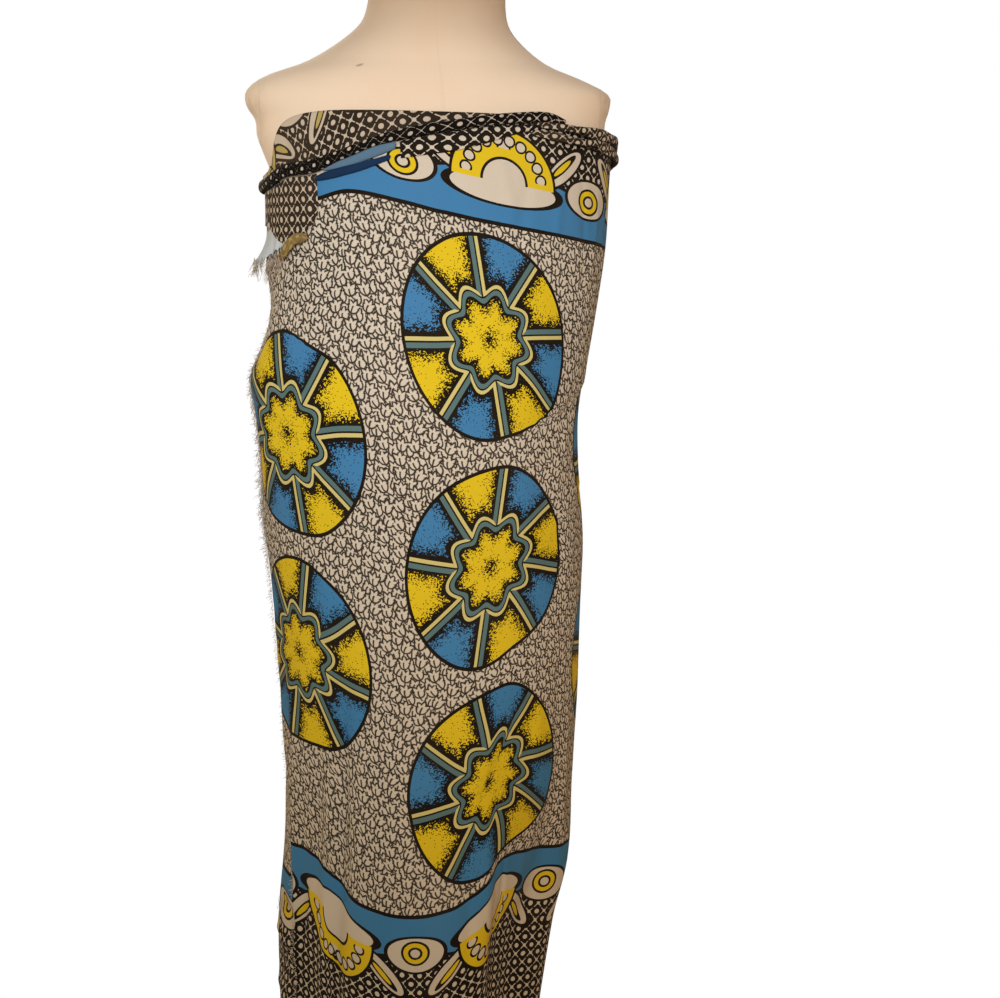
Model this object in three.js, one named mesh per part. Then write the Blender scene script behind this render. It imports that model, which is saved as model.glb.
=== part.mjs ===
// A printed cotton wrap wound round a limbless dress form, in millimetres, +Z up.
// The front faces -Y and the base stands on z = 0, with the pole on the Z axis.
// Angles go round the form in degrees: 0 right (+X), 90 back, 180 left, 270 front, and on past 360
// where the cloth winds on over itself.
import * as THREE from "three";

const hemHeight = 272;
const clothWall = 1.6;
const layerPitch = 2.6; // from one layer's outer face to the next
const looseHang = 3.4; // how much further apart the layers hang below the bust
const formClearance = 1.2;
const seamGap = 0.3;
const gridStep = 4; // degrees between the panels' columns, so that layers share their columns

const baseRadius = 203;
const baseThickness = 14;
const hubRadius = 24;
const hubHeight = 42;
const poleRadius = 12.5;
const collarRadius = 36;
const collarHeight = 24;
const torsoBottom = 694;
const neckTop = 1402;
const capHeight = 13;

// Outer face of the wound cloth: how far it stands from the axis on each side, at each height.
const wrapSections = [
  { z: 262, left: 186, right: 110, front: 152, back: 140, square: 2.05 },
  { z: 400, left: 184, right: 130, front: 151, back: 140, square: 2.05 },
  { z: 471, left: 177, right: 147, front: 150, back: 140, square: 2.1 },
  { z: 570, left: 172, right: 152, front: 149, back: 139, square: 2.1 },
  { z: 665, left: 169, right: 155, front: 148, back: 137, square: 2.15 },
  { z: 729, left: 172, right: 157, front: 146, back: 134, square: 2.2 },
  { z: 822, left: 177, right: 160, front: 142, back: 130, square: 2.2 },
  { z: 909, left: 185, right: 154, front: 138, back: 126, square: 2.25 },
  { z: 963, left: 189, right: 154, front: 134, back: 122, square: 2.25 },
  { z: 1005, left: 189, right: 162, front: 131, back: 119, square: 2.25 },
  { z: 1077, left: 172, right: 174, front: 127, back: 113, square: 2.3 },
  { z: 1133, left: 167, right: 182, front: 123, back: 108, square: 2.3 },
  { z: 1196, left: 166, right: 185, front: 114, back: 104, square: 2.3 },
  { z: 1225, left: 171, right: 187, front: 107, back: 102, square: 2.3 },
  { z: 1262, left: 185, right: 189, front: 96, back: 98, square: 2.3 },
];

// The panels' rows, as shares of the way from hem to top edge, closer where the cloth leans in.
const rowShares = [0, 0.1, 0.2, 0.3, 0.4, 0.5, 0.6, 0.7, 0.79, 0.86, 0.91, 0.945, 0.975, 1];

// The dress form's own sections, from its underside to the neck.
const formSections = () => [
  { z: torsoBottom, left: 128, right: 128, front: 86, back: 92, square: 2.2 },
  { z: 706, left: 140, right: 138, front: 95, back: 102, square: 2.2 },
  { z: 760, left: 150, right: 146, front: 107, back: 116, square: 2.2 },
  { z: 815, left: 148, right: 144, front: 106, back: 114, square: 2.2 },
  { z: 880, left: 130, right: 128, front: 96, back: 98, square: 2.2 },
  { z: 940, left: 119, right: 118, front: 88, back: 86, square: 2.2 },
  { z: 1010, left: 131, right: 131, front: 97, back: 88, square: 2.2 },
  { z: 1077, left: 152, right: 156, front: 111, back: 98, square: 2.25 },
  ...[1133, 1165, 1196, 1225, 1240, 1256].map(hugged),
  { z: 1270, left: 183, right: 185, front: 86, back: 89, square: 2.3 },
  { z: 1284, left: 182, right: 184, front: 82, back: 86, square: 2.25 },
  { z: 1297, left: 164, right: 158, front: 77, back: 81, square: 2.2 },
  { z: 1311, left: 125, right: 122, front: 71, back: 75, square: 2.15 },
  { z: 1336, left: 84, right: 90, front: 64, back: 66, square: 2.1 },
  { z: 1356, left: 65, right: 79, front: 60, back: 62, square: 2.1 },
  { z: neckTop, left: 56, right: 78, front: 57, back: 59, square: 2.1 },
];

// Soft folds of the hanging cloth: each runs down from a start height, is at its full depth lower down,
// and stands out (+) or dips in (-). A higher steepness gives a flatter floor between steeper sides.
const clothFolds = [
  { angleTop: 235, angleHem: 228, start: 820, full: 540, depth: -11, spread: 5, steepness: 2 },
  { angleTop: 217, angleHem: 214, start: 700, full: 420, depth: -13, spread: 9, steepness: 4 },
  { angleTop: 306, angleHem: 313, start: 640, full: 400, depth: -34, spread: 20, steepness: 4 },
  { angleTop: 268, angleHem: 262, start: 600, full: 380, depth: 6, spread: 12, steepness: 2 },
  { angleTop: 20, angleHem: 26, start: 900, full: 520, depth: -9, spread: 8, steepness: 2 },
  { angleTop: 62, angleHem: 58, start: 820, full: 460, depth: 7, spread: 9, steepness: 2 },
  { angleTop: 104, angleHem: 108, start: 980, full: 560, depth: -10, spread: 8, steepness: 2 },
  { angleTop: 146, angleHem: 140, start: 760, full: 430, depth: -8, spread: 7, steepness: 2 },
];

// How far the outer stretch's hem rides up where the cloth is drawn round the sides.
const hemLift = [
  { angle: 182, lift: 30 },
  { angle: 204, lift: 34 },
  { angle: 222, lift: 30 },
  { angle: 235, lift: 12 },
  { angle: 252, lift: 0 },
  { angle: 270, lift: 2 },
  { angle: 283, lift: 14 },
  { angle: 296, lift: 32 },
  { angle: 312, lift: 28 },
  { angle: 330, lift: 20 },
  { angle: 358, lift: 14 },
  { angle: 400, lift: 12 },
  { angle: 450, lift: 6 },
  { angle: 500, lift: 9 },
  { angle: 540, lift: 0 },
];

// The outer stretch's top edge, all round.
const topEdge = [
  { angle: 170, z: 1186 },
  { angle: 196, z: 1188 },
  { angle: 213, z: 1199 },
  { angle: 229, z: 1203 },
  { angle: 242, z: 1213 },
  { angle: 254, z: 1224 },
  { angle: 268, z: 1234 },
  { angle: 280, z: 1241 },
  { angle: 293, z: 1240 },
  { angle: 308, z: 1234 },
  { angle: 330, z: 1222 },
  { angle: 352, z: 1216 },
  { angle: 400, z: 1202 },
  { angle: 450, z: 1194 },
  { angle: 500, z: 1190 },
  { angle: 530, z: 1186 },
];

// Where the raw end of the outer stretch hangs, from the hem up.
const rawEnd = [
  { z: 262, angle: 208 },
  { z: 450, angle: 206 },
  { z: 540, angle: 203 },
  { z: 640, angle: 195 },
  { z: 760, angle: 190 },
  { z: 900, angle: 187 },
  { z: 1100, angle: 185 },
  { z: 1200, angle: 182 },
];

// The turned-out border's upper edge.
const borderTop = [
  { angle: 176, z: 1199 },
  { angle: 196, z: 1203 },
  { angle: 202, z: 1212 },
  { angle: 207, z: 1230 },
  { angle: 213, z: 1243 },
  { angle: 221, z: 1251.5 },
  { angle: 230, z: 1256 },
  { angle: 244, z: 1258 },
  { angle: 284, z: 1256 },
  { angle: 302, z: 1254 },
];

// The rolled edge across the front and the two ropes at the right: centre height, half height and
// half thickness at each angle.
const mainRoll = [
  { angle: 172.3, z: 1190, tall: 6, thick: 3.6 },
  { angle: 196, z: 1192, tall: 6, thick: 3.8 },
  { angle: 213, z: 1202, tall: 6.5, thick: 4.5 },
  { angle: 229, z: 1206, tall: 7, thick: 4.5 },
  { angle: 242, z: 1217, tall: 5, thick: 4 },
  { angle: 254, z: 1229, tall: 5, thick: 4 },
  { angle: 268, z: 1240, tall: 5, thick: 4 },
  { angle: 280, z: 1248, tall: 5, thick: 4 },
  { angle: 292, z: 1252, tall: 5.5, thick: 4.5 },
  { angle: 301, z: 1253, tall: 5, thick: 5 },
  { angle: 306, z: 1250, tall: 2.5, thick: 3 },
];
const upperRope = [
  { angle: 309, z: 1244, tall: 4.5, thick: 3 },
  { angle: 318, z: 1240.8, tall: 6.6, thick: 3.6 },
  { angle: 335, z: 1238.1, tall: 6.6, thick: 3.6 },
  { angle: 352, z: 1232.8, tall: 6.6, thick: 3.4 },
  { angle: 400, z: 1215.9, tall: 6, thick: 3.8 },
  { angle: 450, z: 1207.4, tall: 6, thick: 4 },
  { angle: 500, z: 1203, tall: 5.6, thick: 3.8 },
  { angle: 524, z: 1199.6, tall: 3, thick: 2 },
];
const lowerRope = [
  { angle: 301, z: 1232, tall: 4, thick: 2.6 },
  { angle: 310, z: 1228.5, tall: 6, thick: 3.4 },
  { angle: 335, z: 1224.5, tall: 6.6, thick: 3.8 },
  { angle: 352, z: 1219, tall: 6.8, thick: 3.8 },
  { angle: 400, z: 1203.5, tall: 6, thick: 4 },
  { angle: 450, z: 1195, tall: 6, thick: 4.2 },
  { angle: 500, z: 1191, tall: 6, thick: 4.4 },
  { angle: 532, z: 1190, tall: 6, thick: 4.5 },
];
const upperFold = [
  { angle: 236, z: 1202.4, tall: 1.2, thick: 0.8 },
  { angle: 243, z: 1207, tall: 2.6, thick: 1.6 },
  { angle: 252, z: 1215.6, tall: 3.6, thick: 2 },
  { angle: 258, z: 1221.6, tall: 3, thick: 1.8 },
];
const lowerFold = [
  { angle: 231, z: 1194, tall: 1.4, thick: 0.8 },
  { angle: 238, z: 1197, tall: 2.6, thick: 1.4 },
  { angle: 248, z: 1204.4, tall: 3, thick: 1.6 },
  { angle: 256, z: 1212, tall: 2, thick: 1 },
];

// The latticed band that hangs under the roll: its upper and lower edges.
const rollBand = [
  { angle: 260, top: 1228, low: 1212 },
  { angle: 271, top: 1236, low: 1218 },
  { angle: 280, top: 1242, low: 1226 },
  { angle: 292, top: 1245.5, low: 1238 },
  { angle: 299, top: 1246.5, low: 1242 },
];

// The corner of the border folded down at the left: its lower edge.
const cornerLow = [
  { angle: 184, z: 1152 },
  { angle: 196, z: 1148 },
  { angle: 206, z: 1136 },
  { angle: 217, z: 1133 },
  { angle: 224, z: 1146 },
  { angle: 229, z: 1158 },
];

// The frayed tip and the twisted bit beside it: centre line and half sizes, standing off the panel.
const cornerTuft = [
  { angle: 184, z: 1114, tall: 2, thick: 1, standOff: 8.5 },
  { angle: 190, z: 1119, tall: 8, thick: 2.2, standOff: 5 },
  { angle: 197, z: 1126, tall: 9, thick: 2.4, standOff: 1 },
  { angle: 202, z: 1131, tall: 3, thick: 1.6, standOff: 0.5 },
];
const cornerTwist = [
  { angle: 208, z: 1118, tall: 2, thick: 1.2, standOff: 0.5 },
  { angle: 213, z: 1127, tall: 6, thick: 3.4, standOff: 2.5 },
  { angle: 219, z: 1137, tall: 6, thick: 3.4, standOff: 2.5 },
  { angle: 224, z: 1143, tall: 2, thick: 1.4, standOff: 2.5 },
];
const fringeReach = 5;
const fringeThick = 1.2;
const fringeRows = 10; // the fringe ends at the panel's row before the turned corner

const rad = (degrees) => (degrees * Math.PI) / 180;

// A column's value at a place along a table, on a smooth curve through its rows.
function between(rows, along, at, column) {
  const last = rows.length - 1;
  if (at <= rows[0][along]) return rows[0][column];
  if (at >= rows[last][along]) return rows[last][column];
  let i = 0;
  while (rows[i + 1][along] < at) i += 1;
  const slope = (a, b) => (rows[b][column] - rows[a][column]) / (rows[b][along] - rows[a][along]);
  const span = rows[i + 1][along] - rows[i][along];
  const t = (at - rows[i][along]) / span;
  const startSlope = i > 0 ? slope(i - 1, i + 1) : slope(i, i + 1);
  const endSlope = i + 2 <= last ? slope(i, i + 2) : slope(i, i + 1);
  const bend = t * (1 - t) * span;
  const straight = THREE.MathUtils.lerp(rows[i][column], rows[i + 1][column], t);
  const middle = slope(i, i + 1);
  return straight + bend * ((1 - t) * (startSlope - middle) - t * (endSlope - middle));
}

// The form's section where the cloth hugs it: the wrap's, less every layer of cloth.
function hugged(z) {
  const size = (column) => between(wrapSections, "z", z, column);
  const inset = 2 * layerPitch + clothWall + formClearance;
  return {
    z,
    left: size("left") - inset,
    right: size("right") - inset,
    front: size("front") - inset,
    back: size("back") - inset,
    square: size("square"),
  };
}

// How far a fold moves the cloth out at a place.
function foldDepth(angle, z) {
  const turned = ((angle % 360) + 360) % 360;
  let depth = 0;
  for (const fold of clothFolds) {
    const strength = THREE.MathUtils.smoothstep(fold.start - z, 0, fold.start - fold.full);
    const down = THREE.MathUtils.clamp((fold.start - z) / (fold.start - hemHeight), 0, 1);
    const centre = THREE.MathUtils.lerp(fold.angleTop, fold.angleHem, down);
    const aside = Math.abs(turned - centre) / fold.spread;
    depth += fold.depth * strength * Math.exp(-(aside ** fold.steepness));
  }
  return depth;
}

// A point of a section table's outline, moved out along the outline's own normal.
function outlinePoint(sections, angle, z, out) {
  const size = (column) => between(sections, "z", z, column);
  const c = Math.cos(rad(angle));
  const s = Math.sin(rad(angle));
  const sizeX = c >= 0 ? size("right") : size("left");
  const sizeY = s >= 0 ? size("back") : size("front");
  const power = 2 / size("square");
  const x = sizeX * Math.sign(c) * Math.abs(c) ** power;
  const y = sizeY * Math.sign(s) * Math.abs(s) ** power;
  const normalX = (Math.sign(c) * Math.abs(c) ** (2 - power)) / sizeX;
  const normalY = (Math.sign(s) * Math.abs(s) ** (2 - power)) / sizeY;
  const length = Math.hypot(normalX, normalY);
  return new THREE.Vector3(x + (out * normalX) / length, y + (out * normalY) / length, z);
}

const wrapPoint = (angle, z, out) => outlinePoint(wrapSections, angle, z, out + foldDepth(angle, z));

function geometryOf(points, faces) {
  const geometry = new THREE.BufferGeometry();
  geometry.setAttribute("position", new THREE.Float32BufferAttribute(points.flatMap((p) => p.toArray()), 3));
  geometry.setIndex(faces);
  geometry.computeVertexNormals();
  return geometry;
}

// A cloth wall: two faces of columns by rows of points, joined round their edges.
// place(i, v, depth) gives the point at column i and share v up, depth inside the outer face.
function clothSheet(columns, rows, place, wall = clothWall) {
  const points = [];
  for (const depth of [0, wall]) {
    for (let i = 0; i <= columns; i += 1) {
      for (let j = 0; j <= rows; j += 1) points.push(place(i, j / rows, depth));
    }
  }
  const outer = (i, j) => i * (rows + 1) + j;
  const inner = (i, j) => outer(i, j) + (columns + 1) * (rows + 1);
  const faces = [];
  const quad = (a, b, c, d) => faces.push(a, b, c, a, c, d);
  for (let i = 0; i < columns; i += 1) {
    for (let j = 0; j < rows; j += 1) {
      quad(outer(i, j), outer(i + 1, j), outer(i + 1, j + 1), outer(i, j + 1));
      quad(inner(i, j), inner(i, j + 1), inner(i + 1, j + 1), inner(i + 1, j));
    }
    quad(outer(i, 0), inner(i, 0), inner(i + 1, 0), outer(i + 1, 0));
    quad(outer(i, rows), outer(i + 1, rows), inner(i + 1, rows), inner(i, rows));
  }
  for (let j = 0; j < rows; j += 1) {
    quad(outer(0, j), outer(0, j + 1), inner(0, j + 1), inner(0, j));
    quad(outer(columns, j), inner(columns, j), inner(columns, j + 1), outer(columns, j + 1));
  }
  return geometryOf(points, faces);
}

// A solid through rings of points, each wound anticlockwise about the way the rings go, closed at both ends.
function ringLoft(rings) {
  const sides = rings[0].length;
  const points = rings.flat();
  const faces = [];
  for (let i = 0; i + 1 < rings.length; i += 1) {
    for (let k = 0; k < sides; k += 1) {
      const a = i * sides + k;
      const b = i * sides + ((k + 1) % sides);
      faces.push(a, b, b + sides, a, b + sides, a + sides);
    }
  }
  for (const [ring, first, turn] of [[rings[0], 0, 1], [rings.at(-1), (rings.length - 1) * sides, -1]]) {
    const centre = ring.reduce((sum, p) => sum.add(p), new THREE.Vector3()).divideScalar(sides);
    points.push(centre);
    for (let k = 0; k < sides; k += 1) {
      const a = first + k;
      const b = first + ((k + 1) % sides);
      faces.push(points.length - 1, ...(turn > 0 ? [b, a] : [a, b]));
    }
  }
  return geometryOf(points, faces);
}

// A rolled edge lying on the wrap: an oval section carried along its table.
function clothRoll(rows, steps, sides, standOff = 0.5) {
  const first = rows[0].angle;
  const last = rows.at(-1).angle;
  const rings = [];
  for (let i = 0; i <= steps; i += 1) {
    const angle = THREE.MathUtils.lerp(first, last, i / steps);
    const size = (column) => between(rows, "angle", angle, column);
    const z = size("z");
    const clear = rows[0].standOff === undefined ? standOff : size("standOff");
    const onWrap = outlinePoint(wrapSections, angle, z, 0);
    const out = outlinePoint(wrapSections, angle, z, 1).sub(onWrap);
    const centre = onWrap.addScaledVector(out, clear + size("thick"));
    const ring = [];
    for (let k = 0; k < sides; k += 1) {
      const turn = (2 * Math.PI * k) / sides;
      const point = centre.clone().addScaledVector(out, size("thick") * Math.sin(turn));
      point.z += size("tall") * Math.cos(turn);
      ring.push(point);
    }
    rings.push(ring);
  }
  return ringLoft(rings);
}

// Column angles from one end to the other, on the shared grid in between.
function columnAngles(start, end, step = gridStep) {
  const angles = [start];
  for (let a = Math.ceil((start + 1) / step) * step; a < end - 1; a += step) angles.push(a);
  return [...angles, end];
}

// A stretch of the wound cloth: columns of angles by rows from hem to top edge, at a depth inside the outer
// face. bendAngle may move a column aside at some heights.
function windStretch(angles, hemAt, topAt, depthAt, bendAngle = (angle) => angle) {
  return clothSheet(angles.length - 1, rowShares.length - 1, (i, v, depth) => {
    const share = rowShares[Math.round(v * (rowShares.length - 1))];
    const z = THREE.MathUtils.lerp(hemAt(angles[i]), topAt(angles[i]), share);
    const angle = bendAngle(angles[i], z);
    return wrapPoint(angle, z, -depthAt(angle, z) - depth);
  });
}

const hemAt = (angle) => hemHeight + between(hemLift, "angle", angle, "lift");
const topAt = (angle) => between(topEdge, "angle", angle, "z");
const rawEndAt = (z) => between(rawEnd, "z", z, "angle");
const sideSeam = 358; // where the front stretch gives over to the back one
const seamTurn = 0.1; // half the seam gap as an angle
const tuckStart = 496; // the back stretch slides in under the raw end from here
const tuckEnd = 532;
const underStart = 570;
const underEnd = 767;
const underDepthAt = (z) => 2 * layerPitch + looseHang * THREE.MathUtils.smoothstep(1120 - z, 0, 160);

// Between the raw end and this angle the front's columns follow the slant of the raw end.
const slantEnd = 220;
const rawEndTop = 182;

function slanted(angle, z) {
  if (angle >= slantEnd) return angle;
  const share = (slantEnd - angle) / (slantEnd - rawEndTop);
  return slantEnd - share * (slantEnd - rawEndAt(z));
}
const frontWrap = () =>
  windStretch(columnAngles(rawEndTop, sideSeam - seamTurn), hemAt, topAt, () => 0, slanted);

const backAngles = [
  ...columnAngles(sideSeam + seamTurn, tuckStart, 2 * gridStep),
  ...columnAngles(tuckStart, underStart - seamTurn).slice(1),
];
// The inner layer's top edge: just under the turned-out border's where there is one.
function underTopAt(angle) {
  const turned = angle - 360;
  const bare = topAt(turned) - 2;
  return turned < 302 ? Math.max(bare, between(borderTop, "angle", turned, "z") - 1.5) : bare;
}
const backTopAt = (angle) => (angle - 360 < borderTop[0].angle ? topAt(angle) : underTopAt(angle));
const backWrap = () =>
  windStretch(backAngles, hemAt, backTopAt, (angle, z) =>
    underDepthAt(z) * THREE.MathUtils.smoothstep(angle, tuckStart, tuckEnd));
const borderEnd = 664; // past the turned-out border the inner layer needs fewer columns
const underAngles = [
  ...columnAngles(underStart + seamTurn, borderEnd),
  ...columnAngles(borderEnd, underEnd, 2 * gridStep).slice(1),
];
const underWrap = () => windStretch(underAngles, () => hemHeight, underTopAt, (angle, z) => underDepthAt(z));

function turnedBorder() {
  const angles = columnAngles(borderTop[0].angle, borderTop.at(-1).angle);
  const behindRoll = 5;
  return clothSheet(angles.length - 1, 3, (i, v, depth) => {
    const angle = angles[i];
    const low = between(mainRoll, "angle", angle, "z") - behindRoll;
    const z = THREE.MathUtils.lerp(low, between(borderTop, "angle", angle, "z"), v);
    return wrapPoint(angle, z, -layerPitch - depth);
  });
}

function hangingBand() {
  const bulge = 2.4;
  const angles = columnAngles(rollBand[0].angle, rollBand.at(-1).angle);
  return clothSheet(angles.length - 1, 3, (i, v, depth) => {
    const angle = angles[i];
    const low = between(rollBand, "angle", angle, "low");
    const z = THREE.MathUtils.lerp(low, between(rollBand, "angle", angle, "top"), v);
    const out = 0.5 + clothWall + bulge * Math.sin(Math.PI * v);
    return wrapPoint(angle, z, out - depth);
  });
}

function turnedCorner() {
  const angles = columnAngles(cornerLow[0].angle, cornerLow.at(-1).angle);
  return clothSheet(angles.length - 1, 3, (i, v, depth) => {
    const angle = angles[i];
    const rollLow = between(mainRoll, "angle", angle, "z") - between(mainRoll, "angle", angle, "tall");
    const z = THREE.MathUtils.lerp(between(cornerLow, "angle", angle, "z"), rollLow - seamGap, v);
    return wrapPoint(angle, z, 0.5 + clothWall - depth);
  });
}

// The reach of the frayed threads, standing on along the raw end.
function edgeFringe() {
  const rows = fringeRows - 1;
  return clothSheet(1, rows, (i, v, depth) => {
    const z = THREE.MathUtils.lerp(hemAt(rawEndTop), topAt(rawEndTop), rowShares[Math.round(v * rows)]);
    const reach = (1 - i) * fringeReach + 2 * seamGap;
    const turn = THREE.MathUtils.radToDeg(reach / between(wrapSections, "z", z, "left"));
    return wrapPoint(rawEndAt(z) - turn, z, -depth);
  }, fringeThick);
}

function formTorso() {
  const sides = 40;
  const longStep = 30;
  const sections = formSections();
  const rings = sections.flatMap((row, i) => {
    const next = sections[i + 1];
    const heights = next && next.z - row.z > longStep ? [row.z, (row.z + next.z) / 2] : [row.z];
    return heights.map((z) => {
      const ring = [];
      for (let k = 0; k < sides; k += 1) ring.push(outlinePoint(sections, (360 * k) / sides, z, 0));
      return ring;
    });
  });
  return ringLoft(rings);
}

function neckCap() {
  const sides = 48;
  const steps = [
    { rise: seamGap, inset: 1 },
    { rise: 2, inset: 0 },
    { rise: capHeight - 4, inset: 0 },
    { rise: capHeight - 1, inset: 2 },
    { rise: capHeight, inset: 6 },
  ];
  const rings = steps.map(({ rise, inset }) => {
    const ring = [];
    for (let k = 0; k < sides; k += 1) {
      const point = outlinePoint(formSections(), (360 * k) / sides, neckTop, -inset);
      point.z = neckTop + rise;
      ring.push(point);
    }
    return ring;
  });
  return ringLoft(rings);
}

// A turned piece from its profile, a row of radius and height for each corner, from the axis to the axis.
function turnedPiece(profile, sides) {
  const outline = profile.map(([radius, height]) => new THREE.Vector2(radius, height));
  return new THREE.LatheGeometry(outline, sides).rotateX(Math.PI / 2);
}

const basePlate = () =>
  turnedPiece([
    [0, 0],
    [baseRadius - 2, 0],
    [baseRadius, 3],
    [baseRadius, baseThickness - 5],
    [baseRadius - 6, baseThickness],
    [hubRadius + 8, baseThickness + 4],
    [hubRadius, hubHeight - 3],
    [hubRadius - 3, hubHeight],
    [0, hubHeight],
  ], 72);

const standPole = () =>
  turnedPiece([
    [0, hubHeight + seamGap],
    [poleRadius, hubHeight + seamGap],
    [poleRadius, torsoBottom - collarHeight - seamGap],
    [0, torsoBottom - collarHeight - seamGap],
  ], 24);

const poleCollar = () =>
  turnedPiece([
    [0, torsoBottom - collarHeight],
    [poleRadius + 6, torsoBottom - collarHeight],
    [poleRadius + 8, torsoBottom - collarHeight + 3],
    [poleRadius + 8, torsoBottom - 8],
    [collarRadius, torsoBottom - 5],
    [collarRadius, torsoBottom - seamGap],
    [0, torsoBottom - seamGap],
  ], 36);

const printedCotton = { color: 0xd8cbb4, roughness: 0.9, metalness: 0 };
const borderCotton = { color: 0x2b2724, roughness: 0.9, metalness: 0 };
const wrongSide = { color: 0x8f8373, roughness: 0.92, metalness: 0 };
const blueCotton = { color: 0x3f7fb4, roughness: 0.9, metalness: 0 };
const jersey = { color: 0xe6cfb3, roughness: 0.95, metalness: 0 };
const paintedSteel = { color: 0x2c2b2a, roughness: 0.5, metalness: 0.6 };
const birch = { color: 0xc69c6d, roughness: 0.55, metalness: 0 };

const pieces = [
  { name: "front_wrap", finish: printedCotton, shape: frontWrap },
  { name: "back_wrap", finish: printedCotton, shape: backWrap },
  { name: "under_wrap", finish: printedCotton, shape: underWrap },
  { name: "turned_border", finish: wrongSide, shape: turnedBorder },
  { name: "main_roll", finish: borderCotton, shape: () => clothRoll(mainRoll, 34, 7) },
  { name: "roll_band", finish: borderCotton, shape: hangingBand },
  { name: "border_fold_upper", finish: blueCotton, shape: () => clothRoll(upperFold, 8, 6) },
  { name: "border_fold_lower", finish: blueCotton, shape: () => clothRoll(lowerFold, 8, 6) },
  { name: "rope_upper", finish: wrongSide, shape: () => clothRoll(upperRope, 36, 7) },
  { name: "rope_lower", finish: wrongSide, shape: () => clothRoll(lowerRope, 38, 7) },
  { name: "turned_corner", finish: wrongSide, shape: turnedCorner },
  { name: "corner_tuft", finish: wrongSide, shape: () => clothRoll(cornerTuft, 6, 6) },
  { name: "corner_twist", finish: wrongSide, shape: () => clothRoll(cornerTwist, 8, 6) },
  { name: "raw_edge_fringe", finish: wrongSide, shape: edgeFringe },
  { name: "form_torso", finish: jersey, shape: formTorso },
  { name: "neck_cap", finish: birch, shape: neckCap },
  { name: "pole_collar", finish: paintedSteel, shape: poleCollar },
  { name: "stand_pole", finish: paintedSteel, shape: standPole },
  { name: "base_plate", finish: paintedSteel, shape: basePlate },
];

const wrapOnForm = new THREE.Group();
for (const { name, finish, shape } of pieces) {
  const mesh = new THREE.Mesh(shape(), new THREE.MeshStandardMaterial(finish));
  mesh.name = name;
  wrapOnForm.add(mesh);
}

export default wrapOnForm;
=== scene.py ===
import bpy
import bmesh
import math
import random
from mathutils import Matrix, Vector, noise


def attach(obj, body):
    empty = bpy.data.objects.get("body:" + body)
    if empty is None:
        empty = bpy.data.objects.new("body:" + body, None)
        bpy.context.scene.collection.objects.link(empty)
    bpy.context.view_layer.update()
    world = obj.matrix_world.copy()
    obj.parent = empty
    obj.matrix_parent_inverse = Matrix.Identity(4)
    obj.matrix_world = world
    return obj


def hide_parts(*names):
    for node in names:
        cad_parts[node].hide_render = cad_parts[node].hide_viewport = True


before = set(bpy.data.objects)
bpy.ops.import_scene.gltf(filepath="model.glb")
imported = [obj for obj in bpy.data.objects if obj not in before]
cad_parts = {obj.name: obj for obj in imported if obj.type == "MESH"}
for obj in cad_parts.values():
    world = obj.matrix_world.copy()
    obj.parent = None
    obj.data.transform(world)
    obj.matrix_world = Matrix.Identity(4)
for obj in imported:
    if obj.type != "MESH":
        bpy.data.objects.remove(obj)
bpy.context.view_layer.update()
mm = 0.001  # the tables below are in millimetres and degrees, the meshes in metres


def rows(names, *values):
    # A table: a list of rows, each with its columns by name
    return [dict(zip(names.split(), row)) for row in values]


# the wound cloth: how far its outer face stands from the axis, and what hangs in it
wrap = {
    "hem": 272,
    "layerPitch": 2.6,  # from one layer's outer face to the next
    "looseHang": 3.4,  # how much further apart the layers hang below the bust
    "freeBelow": 1120,  # the height below which the cloth hangs free
    "innerDrop": 2,  # how far below the outer turn's top edge the inner turn's lies
    "borderDrop": 1.5,  # and how far below the turned border's, where that stands higher
    "thickness": 0.6,
    "start": 182,
    "slantEnd": 220,  # from the raw end to here the columns follow its slant
    "slidesUnder": (496, 532),  # the back slides in under the raw end between these
    "end": 767,
    "width": 1080,  # the cut's width, from hem to top edge
    "border": 190,  # each printed border, to its inner line
}
wrapSections = rows(
    "z left right front back square",
    (262, 186, 110, 152, 140, 2.05),
    (400, 184, 130, 151, 140, 2.05),
    (471, 177, 147, 150, 140, 2.1),
    (570, 172, 152, 149, 139, 2.1),
    (665, 169, 155, 148, 137, 2.15),
    (729, 172, 157, 146, 134, 2.2),
    (822, 177, 160, 142, 130, 2.2),
    (909, 185, 154, 138, 126, 2.25),
    (963, 189, 154, 134, 122, 2.25),
    (1005, 189, 162, 131, 119, 2.25),
    (1077, 172, 174, 127, 113, 2.3),
    (1133, 167, 182, 123, 108, 2.3),
    (1196, 166, 185, 114, 104, 2.3),
    (1225, 171, 187, 107, 102, 2.3),
    (1262, 185, 189, 96, 98, 2.3),
)
clothFolds = rows(
    "angleTop angleHem start full depth spread steepness",
    (235, 228, 820, 540, -11, 5, 2),
    (217, 214, 700, 420, -13, 9, 4),
    (306, 313, 640, 400, -34, 20, 4),
    (268, 262, 600, 380, 6, 12, 2),
    (20, 26, 900, 520, -9, 8, 2),
    (62, 58, 820, 460, 7, 9, 2),
    (104, 108, 980, 560, -10, 8, 2),
    (146, 140, 760, 430, -8, 7, 2),
)
hemLift = rows(
    "angle lift",
    (182, 30), (204, 34), (222, 30), (235, 12), (252, 0), (270, 2), (283, 14), (296, 32), (312, 28),
    (330, 20), (358, 14), (400, 12), (450, 6), (500, 9), (540, 0),
)
topEdge = rows(
    "angle z",
    (170, 1186), (196, 1188), (213, 1199), (229, 1203), (242, 1213), (254, 1224), (268, 1234),
    (280, 1243), (293, 1247), (303, 1246), (309, 1243), (318, 1239), (335, 1233), (352, 1228),
    (400, 1211), (450, 1203), (500, 1199), (530, 1190),
)
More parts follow.
